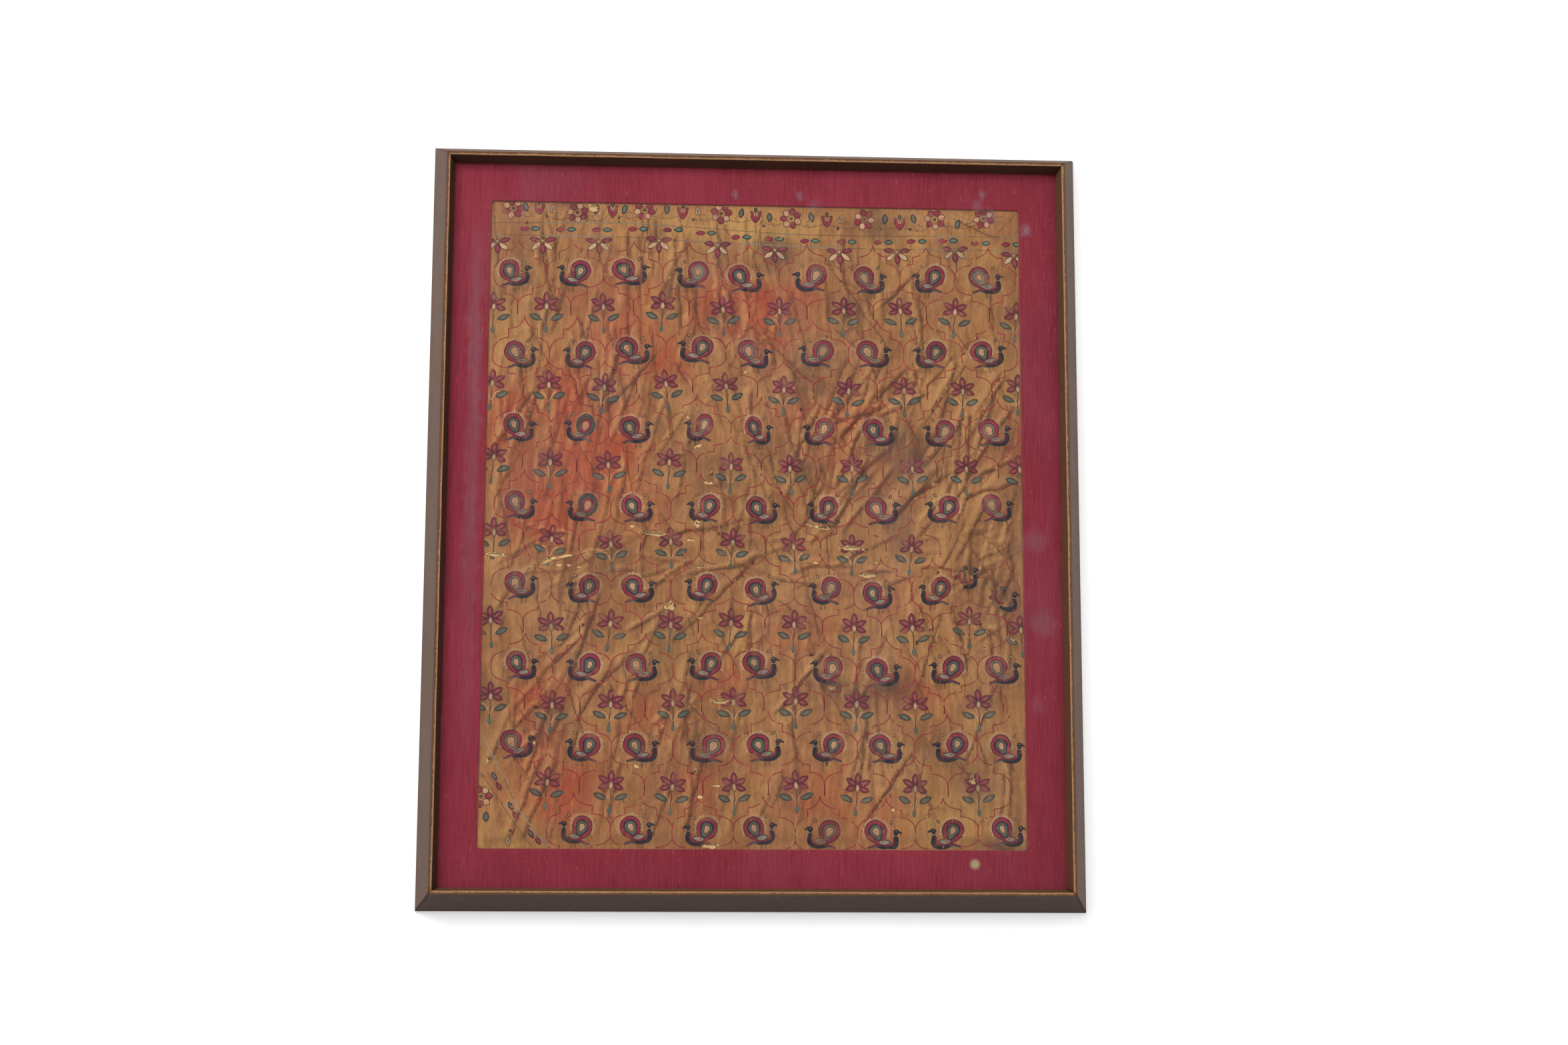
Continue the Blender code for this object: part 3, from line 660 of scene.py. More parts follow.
class Nodes:
    """Short calls that add shader nodes to one material."""

    def __init__(self, name):
        self.material = bpy.data.materials.new(name)
        self.material.use_nodes = True
        self.tree = self.material.node_tree
        self.shader = self.tree.nodes["Principled BSDF"]

    def add(self, kind, **settings):
        """A node of this kind with these settings."""
        node = self.tree.nodes.new(kind)
        for key, value in settings.items():
            setattr(node, key, value)
        return node

    def put(self, socket, value):
        """Gives an input a link, or else a constant."""
        if isinstance(value, bpy.types.NodeSocket):
            self.tree.links.new(value, socket)
        else:
            socket.default_value = value

    def make(self, kind, inputs, **settings):
        """A node with these inputs, by name or by number."""
        node = self.add(kind, **settings)
        for key, value in inputs.items():
            self.put(node.inputs[key], value)
        return node

    def math(self, operation, *values, clamp=False):
        node = self.make("ShaderNodeMath", dict(enumerate(values)), operation=operation, use_clamp=clamp)
        return node.outputs[0]

    def times(self, first, second):
        return self.math("MULTIPLY", first, second)

    def plus(self, first, second, clamp=False):
        return self.math("ADD", first, second, clamp=clamp)

    def mix(self, share, first, second):
        node = self.add("ShaderNodeMix", data_type="RGBA", blend_type="MIX")
        self.put(node.inputs[0], share)
        self.put(node.inputs[6], first)
        self.put(node.inputs[7], second)
        return node.outputs[2]

    def between(self, share, first, second):
        """A mix of two colours, in sRGB from 0 to 255."""
        return self.mix(share, linear(first), linear(second))

    def over(self, colour, share, tint):
        """This much of a tint, in sRGB from 0 to 255, laid over a colour."""
        return self.mix(share, colour, linear(tint))

    def layers(self, colour, rows):
        """Tints laid over a colour in turn. Each row is what span() takes, then the tint."""
        for *span, tint in rows:
            colour = self.over(colour, self.span(*span), tint)
        return colour

    def attribute(self, name, output="Fac"):
        return self.add("ShaderNodeAttribute", attribute_name=name).outputs[output]

    def place(self, scale=(1, 1, 1), turn=0.0):
        """The piece's own coordinates, stretched by scale and turned about Z."""
        inputs = {"Vector": self.own_place(), "Rotation": (0.0, 0.0, turn), "Scale": scale}
        return self.make("ShaderNodeMapping", inputs).outputs[0]

    def own_place(self):
        return self.add("ShaderNodeTexCoord").outputs["Object"]

    def noise(self, vector, scale, detail=4.0, rough=0.6):
        inputs = {"Vector": vector, "Scale": scale, "Detail": detail, "Roughness": rough}
        return self.make("ShaderNodeTexNoise", inputs).outputs["Fac"]

    def wave(self, vector, scale, direction, bend):
        inputs = {"Vector": vector, "Scale": scale, "Distortion": bend, "Detail Scale": 2.0}
        return self.make("ShaderNodeTexWave", inputs, bands_direction=direction).outputs["Fac"]

    def span(self, value, low, high, to_low=0.0, to_high=1.0):
        """A value's way from low to high, kept between the ends."""
        inputs = dict(enumerate((value, low, high, to_low, to_high)))
        return self.make("ShaderNodeMapRange", inputs, clamp=True).outputs[0]

    def distance(self, vector, point):
        inputs = {0: vector, 1: point}
        return self.make("ShaderNodeVectorMath", inputs, operation="DISTANCE").outputs["Value"]

    def bump(self, height, distance):
        """Normals of a relief. distance is in m."""
        inputs = {"Height": height, "Distance": distance, "Strength": 1.0}
        return self.make("ShaderNodeBump", inputs).outputs[0]

    def finish(self, colour, roughness, normal=None, sheen=0.0, specular=0.3):
        """Sets the surface's own values and gives the material."""
        self.put(self.shader.inputs["Base Color"], colour)
        self.put(self.shader.inputs["Roughness"], roughness)
        self.put(self.shader.inputs["Sheen Weight"], sheen)
        self.put(self.shader.inputs["Specular IOR Level"], specular)
        if normal is not None:
            self.put(self.shader.inputs["Normal"], normal)
        return self.material


def weave(nodes, pitch, bend=0.8):
    """Plain weave: two sets of fine threads at right angles."""
    vector = nodes.place()
    warp = nodes.wave(vector, 0.314 / (pitch * MM), "X", bend)
    weft = nodes.wave(vector, 0.314 / (pitch * MM), "Y", bend)
    return nodes.times(nodes.plus(warp, weft), 0.5)


def silk_veins(nodes):
    """Painted shade lines in the finest creases, and the cloth's rise between them, from two networks of
    cells.
    """
    crease_shade_lines, relief = None, None
    for turn, scale, share in ((0.10, (62.0, 16.0, 1.0), 0.26), (0.75, (44.0, 13.0, 1.0), 0.22)):
        wander = nodes.make("ShaderNodeTexNoise", {"Scale": 24.0, "Vector": nodes.place()}).outputs["Color"]
        soft = nodes.make("ShaderNodeVectorMath", {0: wander, "Scale": 0.9}, operation="SCALE").outputs[0]
        bent = nodes.make("ShaderNodeVectorMath", {0: nodes.place(scale, turn), 1: soft}, operation="ADD")
        cells = nodes.make(
            "ShaderNodeTexVoronoi", {"Vector": bent.outputs[0], "Scale": 1.0}, feature="DISTANCE_TO_EDGE"
        ).outputs["Distance"]
        shown = nodes.span(nodes.noise(nodes.place(), 21.0 + 30 * turn, 2.0, 0.5), 0.46, 0.56)
        line = nodes.times(nodes.span(cells, 0.0, 0.035, share, 0.0), shown)
        crest = nodes.times(nodes.span(cells, 0.0, 0.09), shown)
        crease_shade_lines = line if crease_shade_lines is None else nodes.math("MAXIMUM", crease_shade_lines, line)
        relief = crest if relief is None else nodes.plus(relief, crest)
    return crease_shade_lines, relief


def silk_material():
    nodes = Nodes("aged_silk")
    broad = nodes.noise(nodes.place(), 9.0, 3.0, 0.5)
    patches = nodes.noise(nodes.place(), 34.0, 6.0, 0.65)
    mottle = nodes.noise(nodes.place((1.3, 0.8, 1.0)), 70.0, 6.0, 0.7)
    streaks = nodes.noise(nodes.place((1.0, 0.17, 1.0)), 170.0, 5.0, 0.65)
    grime = nodes.noise(nodes.place(), 300.0, 6.0, 0.7)
    grain = nodes.noise(nodes.place((1.0, 0.22, 1.0)), 560.0, 3.0, 0.6)
    threads = weave(nodes, 0.55)
    crease_shade_lines, relief = silk_veins(nodes)
    colour = nodes.between(nodes.span(broad, 0.35, 0.65), (166, 110, 64), (184, 130, 76))
    colour = nodes.layers(colour, [
        (patches, 0.3, 0.6, 0.50, 0.0, (140, 90, 54)),
        (mottle, 0.52, 0.70, 0.0, 0.55, (142, 92, 74)),
    ])
    pale = nodes.times(nodes.attribute("pale"), nodes.span(patches, 0.2, 0.6))
    colour = nodes.over(colour, pale, (200, 154, 84))
    red = nodes.times(nodes.attribute("red"), nodes.span(mottle, 0.28, 0.66, 1.0, 0.74))
    colour = nodes.over(colour, red, (180, 66, 42))
    brown = nodes.times(nodes.attribute("brown"), nodes.span(patches, 0.2, 0.55, 0.55, 1.0))
    colour = nodes.over(colour, nodes.times(brown, 0.95), (80, 57, 46))
    colour = nodes.layers(colour, [
        (streaks, 0.52, 0.72, 0.0, 0.50, (206, 152, 98)),
        (streaks, 0.48, 0.30, 0.0, 0.52, (118, 72, 44)),
    ])
    # Painted shade in the finest creases.
    colour = nodes.over(colour, crease_shade_lines, (108, 62, 36))
    # Painted light: the side of each fold that faces away from LIT_SIDE is painted darker, the side that
    # faces it lighter.
    slope = nodes.attribute("slope")
    colour = nodes.layers(colour, [
        (slope, -0.015, -0.20, 0.0, 0.85, (98, 58, 36)),
        (slope, 0.015, 0.16, 0.0, 0.65, (208, 154, 96)),
    ])
    # A painted shade line along the nearest marked crease, darkest on the strongest creases.
    away = nodes.plus(nodes.attribute("crease"), nodes.span(mottle, 0.2, 0.8, -0.3, 0.3))
    line = nodes.span(away, 0.15, 1.0, 0.85, 0.0)
    colour = nodes.over(colour, nodes.times(line, nodes.attribute("fold")), (84, 48, 30))
    colour = nodes.layers(colour, [
        (grime, 0.56, 0.72, 0.0, 0.40, (94, 62, 44)),
        (grain, 0.35, 0.7, 0.30, 0.0, (112, 74, 46)),
        (threads, 0.0, 1.0, 0.05, 0.0, (98, 62, 38)),
    ])
    frayed = nodes.plus(nodes.attribute("bare"), nodes.span(grime, 0.25, 0.75, -0.40, 0.40))
    colour = nodes.layers(colour, [
        (frayed, 1.0, 1.35, 0.55, 0.0, (112, 76, 46)),
        (frayed, 0.90, 1.0, 1.0, 0.0, (226, 184, 126)),
    ])
    height = nodes.times(threads, 0.05)
    for relief_part, share in ((patches, 1.2), (streaks, 0.5), (grain, 0.3), (relief, 0.3)):
        height = nodes.plus(height, nodes.times(relief_part, share))
    height = nodes.plus(height, nodes.span(frayed, 0.85, 1.05, 0.0, 0.35))
    return nodes.finish(colour, nodes.span(patches, 0.2, 0.8, 0.80, 0.60), nodes.bump(height, 0.0012), 0.08)


def thread_material():
    nodes = Nodes("silk_thread")
    wear = nodes.noise(nodes.place(), 300.0, 5.0, 0.7)
    faded = nodes.noise(nodes.place(), 45.0, 4.0, 0.6)
    colour = nodes.attribute("thread", "Color")
    colour = nodes.layers(colour, [
        (faded, 0.45, 0.8, 0.0, 0.22, (120, 80, 54)),
        (wear, 0.56, 0.78, 0.0, 0.16, (160, 120, 86)),
        (wear, 0.46, 0.28, 0.0, 0.50, (30, 22, 24)),
    ])
    return nodes.finish(colour, 0.66, nodes.bump(wear, 0.0004), 0.12)


def linen_material():
    nodes = Nodes("crimson_linen")
    threads = weave(nodes, 0.6, 3.0)
    slub_up = nodes.noise(nodes.place((1.0, 0.03, 1.0)), 1100.0, 4.0, 0.65)
    slub_across = nodes.noise(nodes.place((0.03, 1.0, 1.0)), 1100.0, 4.0, 0.65)
    fleck = nodes.noise(nodes.place((1.0, 0.12, 1.0)), 900.0, 2.0, 0.5)
    broad = nodes.noise(nodes.place((1.0, 0.5, 1.0)), 14.0, 4.0, 0.6)
    colour = nodes.between(nodes.span(broad, 0.3, 0.7), (128, 30, 44), (146, 44, 60))
    colour = nodes.layers(colour, [
        (slub_up, 0.45, 0.75, 0.0, 0.40, (176, 72, 88)),
        (slub_up, 0.5, 0.3, 0.0, 0.40, (118, 24, 42)),
        (slub_across, 0.5, 0.75, 0.0, 0.30, (168, 60, 76)),
        (fleck, 0.68, 0.76, 0.0, 0.55, (206, 112, 116)),
        (threads, 0.1, 0.9, 0.08, 0.0, (90, 14, 28)),
    ])
    away = nodes.distance(nodes.place(), SPOT)
    spot = nodes.plus(away, nodes.span(broad, 0.3, 0.7, -0.0015, 0.0015))
    colour = nodes.over(colour, nodes.span(spot, 0.0068, 0.003, 0.0, 0.75), (186, 178, 134))
    height = nodes.plus(nodes.times(threads, 0.3), slub_up)
    height = nodes.plus(height, nodes.times(slub_across, 0.7))
    return nodes.finish(colour, 0.88, nodes.bump(height, 0.0004), 0.25, 0.2)


def board_material():
    nodes = Nodes("cream_board_cloth")
    threads = weave(nodes, 0.7)
    soiled = nodes.noise(nodes.place(), 60.0, 5.0, 0.6)
    colour = nodes.between(nodes.span(soiled, 0.3, 0.7), (240, 206, 150), (226, 186, 124))
    colour = nodes.over(colour, nodes.span(threads, 0.1, 0.9, 0.2, 0.0), (180, 138, 86))
    return nodes.finish(colour, 0.9, nodes.bump(threads, 0.0002), 0.1)


def wood_material():
    """Grain runs along the rail; 'across' is mm from the outer foot, round the section."""
    nodes = Nodes("worn_stained_wood")
    run = nodes.make("ShaderNodeCombineXYZ", {
        0: nodes.times(nodes.attribute("along"), 0.012), 1: nodes.times(nodes.attribute("across"), 0.5),
        2: nodes.attribute("rail"),
    }).outputs[0]
    streak = nodes.noise(run, 1.6, 6.0, 0.65)
    fine = nodes.noise(run, 7.0, 5.0, 0.7)
    blotch = nodes.noise(nodes.place(), 26.0, 5.0, 0.6)
    dust = nodes.noise(nodes.place(), 340.0, 4.0, 0.7)
    across = nodes.plus(nodes.attribute("across"), nodes.span(blotch, 0.2, 0.8, -0.55, 0.55))
    shaded_bottom_rail = nodes.span(nodes.attribute("rail"), 1.5, 0.5)
    painted_lit_walls = nodes.span(nodes.attribute("rail"), 5.5, 4.5)
    slope = nodes.between(nodes.span(streak, 0.3, 0.7), (92, 68, 55), (112, 86, 71))
    slope = nodes.layers(slope, [
        (blotch, 0.45, 0.75, 0.0, 0.35, (120, 93, 75)),
        (across, 34.0, 46.5, 0.0, 0.35, (96, 68, 48)),
    ])
    # Painted shade: the bottom rail's slope, which faces away from the light, is painted much darker.
    slope = nodes.over(slope, nodes.times(shaded_bottom_rail, 0.96), (60, 33, 18))
    slope = nodes.layers(slope, [
        (fine, 0.45, 0.25, 0.0, 0.45, (60, 44, 36)),
        (dust, 0.55, 0.8, 0.0, 0.25, (146, 126, 108)),
    ])
    strip = nodes.between(nodes.span(fine, 0.3, 0.7), (84, 54, 36), (128, 90, 60))
    worn = nodes.plus(across, nodes.span(dust, 0.3, 0.7, -0.9, 0.9))
    strip = nodes.over(strip, nodes.span(worn, 50.6, 51.6, 0.0, 0.75), (192, 146, 104))
    wall = nodes.between(nodes.span(streak, 0.3, 0.7), (58, 36, 26), (84, 56, 40))
    # Painted light: the inner walls of the bottom and right rails, which face the light, are painted lighter.
    wall = nodes.over(wall, nodes.times(painted_lit_walls, 0.75), (118, 82, 58))
    colour = nodes.over(slope, nodes.span(across, 46.6, 48.2), (80, 48, 30))
    colour = nodes.mix(nodes.span(across, 48.6, 49.2), colour, strip)
    colour = nodes.mix(nodes.span(across, 52.4, 53.0), colour, wall)
    height = nodes.plus(nodes.times(fine, 0.6), nodes.times(dust, 0.2))
    return nodes.finish(colour, nodes.span(streak, 0.2, 0.8, 0.5, 0.72), nodes.bump(height, 0.0007), 0.0, 0.2)


def glass_material():
    """Clear glass that only shows by dull smudges, painted reflection in a faint haze and painted glare."""
    nodes = Nodes("picture_glass")
    nodes.material.surface_render_method = "BLENDED"
    grease = nodes.noise(nodes.place((1.0, 0.6, 1.0)), 46.0, 6.0, 0.7)
    # The haze is painted reflection: broad faint patches of sheen laid on as a film.
    haze = nodes.noise(nodes.place((1.0, 0.45, 1.0)), 11.0, 4.0, 0.6)
    film = nodes.span(haze, 0.52, 0.72, 0.0, 0.02)
    uneven = nodes.make("ShaderNodeTexNoise", {"Scale": 90.0, "Detail": 4.0, "Vector": nodes.place()})
    most = 2 * NOISE_SHIFT * MM
    inputs = {0: uneven.outputs["Color"], 1: (most, most, 0.0), 2: nodes.own_place()}
    moved = nodes.make("ShaderNodeVectorMath", inputs, operation="MULTIPLY_ADD").outputs[0]
    for x, y, reach, share in SMUDGES:
        away = nodes.distance(moved, ((x + NOISE_SHIFT) * MM, (y + NOISE_SHIFT) * MM, GLASS_TOP * MM))
        near = nodes.span(nodes.math("DIVIDE", away, reach * MM), 1.1, 0.3, 0.0, share)
        film = nodes.plus(film, nodes.times(near, nodes.span(grease, 0.3, 0.6, 0.5, 1.0)))
    # Painted reflection: a pale streak of glare down the left of the glass.
    split = nodes.make("ShaderNodeSeparateXYZ", {0: moved})
    streaks = nodes.noise(nodes.place((1.0, 0.05, 1.0)), 130.0, 4.0, 0.6)
    glare = nodes.span(streaks, 0.35, 0.7, 0.02, 0.09)
    for axis, none, full in GLARE_EDGES:
        glare = nodes.times(glare, nodes.span(split.outputs[axis], none, full))
    film = nodes.plus(film, glare, clamp=True)
    nodes.put(nodes.shader.inputs["Alpha"], nodes.plus(film, CLEAR_GLASS, clamp=True))
    return nodes.finish(linear((166, 152, 168)), 0.25, None, 0.0, 0.5)


def floor_material():
    nodes = Nodes("pale_floor")
    mottle = nodes.noise(nodes.place(), 3.0, 2.0, 0.5)
    colour = nodes.between(nodes.span(mottle, 0.3, 0.7), (250, 250, 250), (254, 254, 254))
    nodes.put(nodes.shader.inputs["Emission Color"], (1.0, 1.0, 1.0, 1.0))
    nodes.put(nodes.shader.inputs["Emission Strength"], FLOOR_GLOW)
    return nodes.finish(colour, 0.9)


def rounded(corner, before, after, steps=3):
    """Points of an arc that softens a corner of the moulding's section."""
    to_before = (before - corner) / np.linalg.norm(before - corner)
    to_after = (after - corner) / np.linalg.norm(after - corner)
    half = math.acos(np.clip(np.dot(to_before, to_after), -1, 1)) / 2
    middle = to_before + to_after
    centre = corner + middle / np.linalg.norm(middle) * ARRIS_RADIUS / math.sin(half)
    start = corner + to_before * ARRIS_RADIUS / math.tan(half) - centre
    end = corner + to_after * ARRIS_RADIUS / math.tan(half) - centre
    turn = math.pi - 2 * half
    points = []
    for step in range(steps + 1):
        share = step / steps
        blend = start * math.sin((1 - share) * turn) + end * math.sin(share * turn)
        points.append(centre + blend / math.sin(turn))
    return points


def moulding_section():
    """Section points, from the outer foot over the ridge to the back, and the distance round."""
    ridge_inner = SLOPE_RUN + STRIP_RUN
    lip = RIDGE_HEIGHT - STRIP_DROP - WALL_DEPTH
    rabbet = ridge_inner + WALL_LEAN - LIP_RUN
    corners = np.array([
        (0, 0), (0, FOOT_HEIGHT), (SLOPE_RUN, RIDGE_HEIGHT), (ridge_inner, RIDGE_HEIGHT - STRIP_DROP),
        (ridge_inner + WALL_LEAN, lip), (rabbet, lip), (rabbet, 0),
    ], dtype=float)
    spacing = [3.0, 1.6, 0.7, 1.6, 8.0, 8.0, 8.0]
    outline = []
    for index in range(7):
        corner, after = corners[index], corners[(index + 1) % 7]
        if 1 <= index <= 4:
            outline += rounded(corner, corners[index - 1], after)
        else:
            outline.append(corner)
        steps = int(np.linalg.norm(after - corner) / spacing[index])
        for step in range(1, steps):
            outline.append(corner + (after - corner) * step / steps)
    section = np.array(outline)
    steps = np.linalg.norm(np.diff(section, axis=0, prepend=section[:1]), axis=1)
    return section, np.cumsum(steps)


def make_rail(name, length, place, turn, number, material):
    """One mitred length of the moulding, with dents, nicks and an uneven worn ridge."""
    section, across = moulding_section()
    shares = np.linspace(-1, 1, int(length / 4) | 1)
    count = len(section)
    inward = np.tile(section[:, 0], (len(shares), 1))
    height = np.tile(section[:, 1], (len(shares), 1))
    round_way = np.tile(across, (len(shares), 1))
    along = shares[:, None] * (length / 2 - inward - MITRE_GAP)
    on_face = ((round_way > 4) & (round_way < 70)).astype(float)
    seed = 40 + number * 7
    dent = 0.14 * noise(along, round_way * 3, 30, seed) + 0.10 * noise(along, round_way * 4, 8, seed + 1)
    near_ridge = np.exp(-(((round_way - 50.5) / 3.0) ** 2))
    nicks = np.clip(noise(along, round_way, 7, seed + 2) - 0.35, 0, 1) * near_ridge * 0.9
    height = height - on_face * (np.abs(dent) + nicks)
    points = np.stack([along, inward, height], axis=2).reshape(-1, 3)
    ring = np.arange(count)
    following = (ring + 1) % count
    faces = []
    for index in range(len(shares) - 1):
        here, there = index * count, (index + 1) * count
        faces.append(np.stack([there + ring, there + following, here + following, here + ring], axis=1))
    last = (len(shares) - 1) * count
    caps = [ring.tolist(), (last + ring[::-1]).tolist()]
    angle = math.radians(turn)
    turned = points.copy()
    turned[:, 0] = points[:, 0] * math.cos(angle) - points[:, 1] * math.sin(angle) + place[0]
    turned[:, 1] = points[:, 0] * math.sin(angle) + points[:, 1] * math.cos(angle) + place[1]
    rail = add_mesh(
        name, turned, np.concatenate(faces), material, caps,
        along=points[:, 0], across=round_way.ravel(), rail=np.full(len(points), number * 3.7),
    )
    for polygon in rail.data.polygons[-2:]:
        polygon.use_smooth = False
    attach(rail, "root")
    return rail


def make_rails(material):
    """The four sides of the moulding, in place of the solids."""
    wide, high = FRAME_WIDTH / 2, FRAME_HEIGHT / 2
    rails = {
        "bottom": (FRAME_WIDTH, (0, -high), 0),
        "right": (FRAME_HEIGHT, (wide, 0), 90),
        "top": (FRAME_WIDTH, (0, high), 180),
        "left": (FRAME_HEIGHT, (-wide, 0), -90),
    }
    for number, (side, (length, place, turn)) in enumerate(rails.items()):
        rail = make_rail(f"moulding_{side}", length, place, turn, number, material)
        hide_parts(f"rail_{side}")


def rounded_rectangle(width, height, radius, centre, per_side=(186, 224)):
    """Points round a rectangle, with the same number on each side and at each corner."""
    signs = np.array([(1, 1), (-1, 1), (-1, -1), (1, -1)])
    middles = np.array(centre) + signs * (width / 2 - radius, height / 2 - radius)
    points = []
    for quarter in range(4):
        for step in range(7):
            angle = math.radians(90) * (quarter + step / 6)
            way = np.array((math.cos(angle), math.sin(angle)))
            points.append(middles[quarter] + radius * way)
        start, end = points[-1], middles[(quarter + 1) % 4] + radius * way
        steps = per_side[quarter % 2]
        for step in range(1, steps):
            points.append(start + (end - start) * step / steps)
    return np.array(points)


def make_mat(material):
    """The window mat, its linen a little uneven and turned softly over the window's edge."""
    bottom = MAT_TOP - MAT_THICKNESS
    outer = rounded_rectangle(PANE_WIDTH, PANE_HEIGHT, 1.0, (0, 0))
    rings = [(outer, bottom), (outer, MAT_TOP)]
    edge = rounded_rectangle(WINDOW_WIDTH + 2, WINDOW_HEIGHT + 2, WINDOW_RADIUS + 1, WINDOW_CENTRE)
    for step in range(1, 15):
        rings.append((outer + (edge - outer) * step / 15, MAT_TOP))
    for step in range(5):
        angle = math.radians(90) * step / 4
        back = 1 - math.sin(angle)
        loop = rounded_rectangle(
            WINDOW_WIDTH + 2 * back, WINDOW_HEIGHT + 2 * back, WINDOW_RADIUS + back, WINDOW_CENTRE
        )
        rings.append((loop, MAT_TOP - 1 + math.cos(angle)))
    rings.append((rings[-1][0], bottom))
    points = np.concatenate([np.column_stack([loop, np.full(len(loop), z)]) for loop, z in rings])
    on_top = points[:, 2] > MAT_TOP - 0.9
    x, y = points[:, 0], points[:, 1]
    lumps = 0.10 + 0.06 * noise(x, y, 16, 71) + 0.04 * noise(x, y, 5, 72)
    points[:, 2] -= np.where(on_top, np.clip(lumps, 0, 0.25), 0)
    count = len(outer)
    ring = np.arange(count)
    following = (ring + 1) % count
    faces = []
    for index in range(len(rings)):
        here, there = index * count, (index + 1) % len(rings) * count
        faces.append(np.stack([here + ring, here + following, there + following, there + ring], axis=1))
    mat = add_mesh("linen_mat", points, np.concatenate(faces), material)
    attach(mat, "root")
    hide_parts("mat")


def snap_to_creases(x, y, inside):
    """Moves points onto the creases close to them, so that each crease is a line of edges."""
    for layer in CRUMPLES:
        distance, way_x, way_y, _ = crumple(x, y, layer)
        chosen = (distance < CELL * 0.45) & (crumple_strength(x, y, layer) > 0.15) & inside
        x[chosen] += distance[chosen] * way_x[chosen]
        y[chosen] += distance[chosen] * way_y[chosen]
    for crease in CREASES + FINE_CREASES:
        near = near_crease(crease, x, y, 2 * CELL)
        across, beyond = along_crease(crease, x[near], y[near])
        snap = (np.abs(across) < CELL * 0.4) & (beyond <= 0) & inside[near]
        length = math.hypot(crease.x1 - crease.x0, crease.y1 - crease.y0)
        chosen = near[snap]
        x[chosen] -= across[snap] * (crease.y1 - crease.y0) / length
        y[chosen] += across[snap] * (crease.x1 - crease.x0) / length


def make_cloth(material):
    """The silk: creased, stained, worn bare, and cut through where most of it is lost."""
    half_x, half_y = WINDOW_WIDTH / 2, WINDOW_HEIGHT / 2
    xs = np.linspace(-half_x, half_x, round(WINDOW_WIDTH / CELL))
    ys = np.linspace(-half_y, half_y, round(WINDOW_HEIGHT / CELL))
    xs = np.concatenate([[-half_x - CLOTH_TUCK], xs, [half_x + CLOTH_TUCK]])
    ys = np.concatenate([[-half_y - CLOTH_TUCK], ys, [half_y + CLOTH_TUCK]])
    x, y = (grid.ravel() for grid in np.meshgrid(xs, ys))
    inside = (np.abs(x) < half_x - 3) & (np.abs(y) < half_y - 3)
    snap_to_creases(x, y, inside)
    hidden = np.zeros(len(x), dtype=bool)
    for number, loss in enumerate(LOSSES):
        if loss.height < LEAST_HOLE:
            continue
        share = loss_edge(loss, x, y, number) / HOLE_SHARE
        reach = 1.1 / (0.5 * HOLE_SHARE * min(loss.height, loss.length))
        snap = (np.abs(share - 1) < reach) & inside
        x[snap] = loss.x + (x[snap] - loss.x) / share[snap]
        y[snap] = loss.y + (y[snap] - loss.y) / share[snap]
        hidden |= (share < 1) | snap
    bare = np.full(len(x), 3.0)
    for number, loss in enumerate(LOSSES):
        bare = np.minimum(bare, loss_edge(loss, x, y, number))
    crease, fold = crease_marks(x, y)
    columns, rows = len(xs), len(ys)
    a = (np.arange(rows - 1)[:, None] * columns + np.arange(columns - 1)).ravel()
    b, c, d = a + 1, a + columns + 1, a + columns
    along = (crease[a] + crease[c] <= crease[b] + crease[d])[:, None]
    first = np.where(along, np.stack([a, b, c], axis=1), np.stack([a, b, d], axis=1))
    second = np.where(along, np.stack([a, c, d], axis=1), np.stack([b, c, d], axis=1))
    faces = np.concatenate([first, second])
    faces = faces[~hidden[faces].all(axis=1)]
    height = cloth_height(x, y)
    points = np.column_stack([x + WINDOW_CENTRE[0], y + WINDOW_CENTRE[1], CLOTH_TOP + height])
    brown = np.clip(stain_share(BROWN_STAINS, x, y, 85) + HALO_SHARE * motif_halo(x, y), 0, 1)
    cloth = add_mesh(
        "embroidered_silk", points, faces, material,
        red=np.clip(RED_GAIN * stain_share(RED_STAINS, x, y, 81), 0, 1), brown=brown,
        pale=stain_share(PALE_STAINS, x, y, 89), crease=crease, fold=fold, bare=bare,
    )
    # How squarely each point faces LIT_SIDE, from which the silk's material paints shade and highlight.
    normals = np.empty(3 * len(cloth.data.vertices), dtype=np.float32)
    cloth.data.vertices.foreach_get("normal", normals)
    slope = normals.reshape(-1, 3)[:, :2] @ np.array(LIT_SIDE, dtype=np.float32)
    cloth.data.attributes.new("slope", "FLOAT", "POINT").data.foreach_set("value", slope)
    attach(cloth, "root")
    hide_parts("textile")
    return cloth


def arc(x, y, radius_x, radius_y, start, end, steps=24):
    """Points along part of an oval, between two angles in degrees."""
    angles = np.radians(np.linspace(start, end, steps))
    return np.column_stack([x + radius_x * np.cos(angles), y + radius_y * np.sin(angles)])


def band(points, widths, rows):
    """Rows of stitches side by side along a line that widens and narrows."""
    points = smooth_line(points)
    widths = np.interp(np.linspace(0, 1, len(points)), np.linspace(0, 1, len(widths)), widths)
    step = np.gradient(points, axis=0)
    step /= np.linalg.norm(step, axis=1)[:, None]
    side = np.column_stack([-step[:, 1], step[:, 0]])
    offsets = np.linspace(-1, 1, rows) * (rows - 1) / rows if rows > 1 else [0]
    return [points + side * (widths * offset)[:, None] for offset in offsets]


def smooth_line(points, steps=8):
    """A smooth line through a few points."""
    points = np.asarray(points, dtype=float)
    padded = np.vstack([2 * points[0] - points[1], points, 2 * points[-1] - points[-2]])
    line = []
    for index in range(1, len(padded) - 2):
        a, b, c, d = padded[index - 1 : index + 3]
        for share in np.linspace(0, 1, steps, endpoint=False):
            curve = 2 * b + (c - a) * share + (2 * a - 5 * b + 4 * c - d) * share**2
            line.append(0.5 * (curve + (3 * b - a - 3 * c + d) * share**3))
    line.append(points[-1])
    return np.array(line)


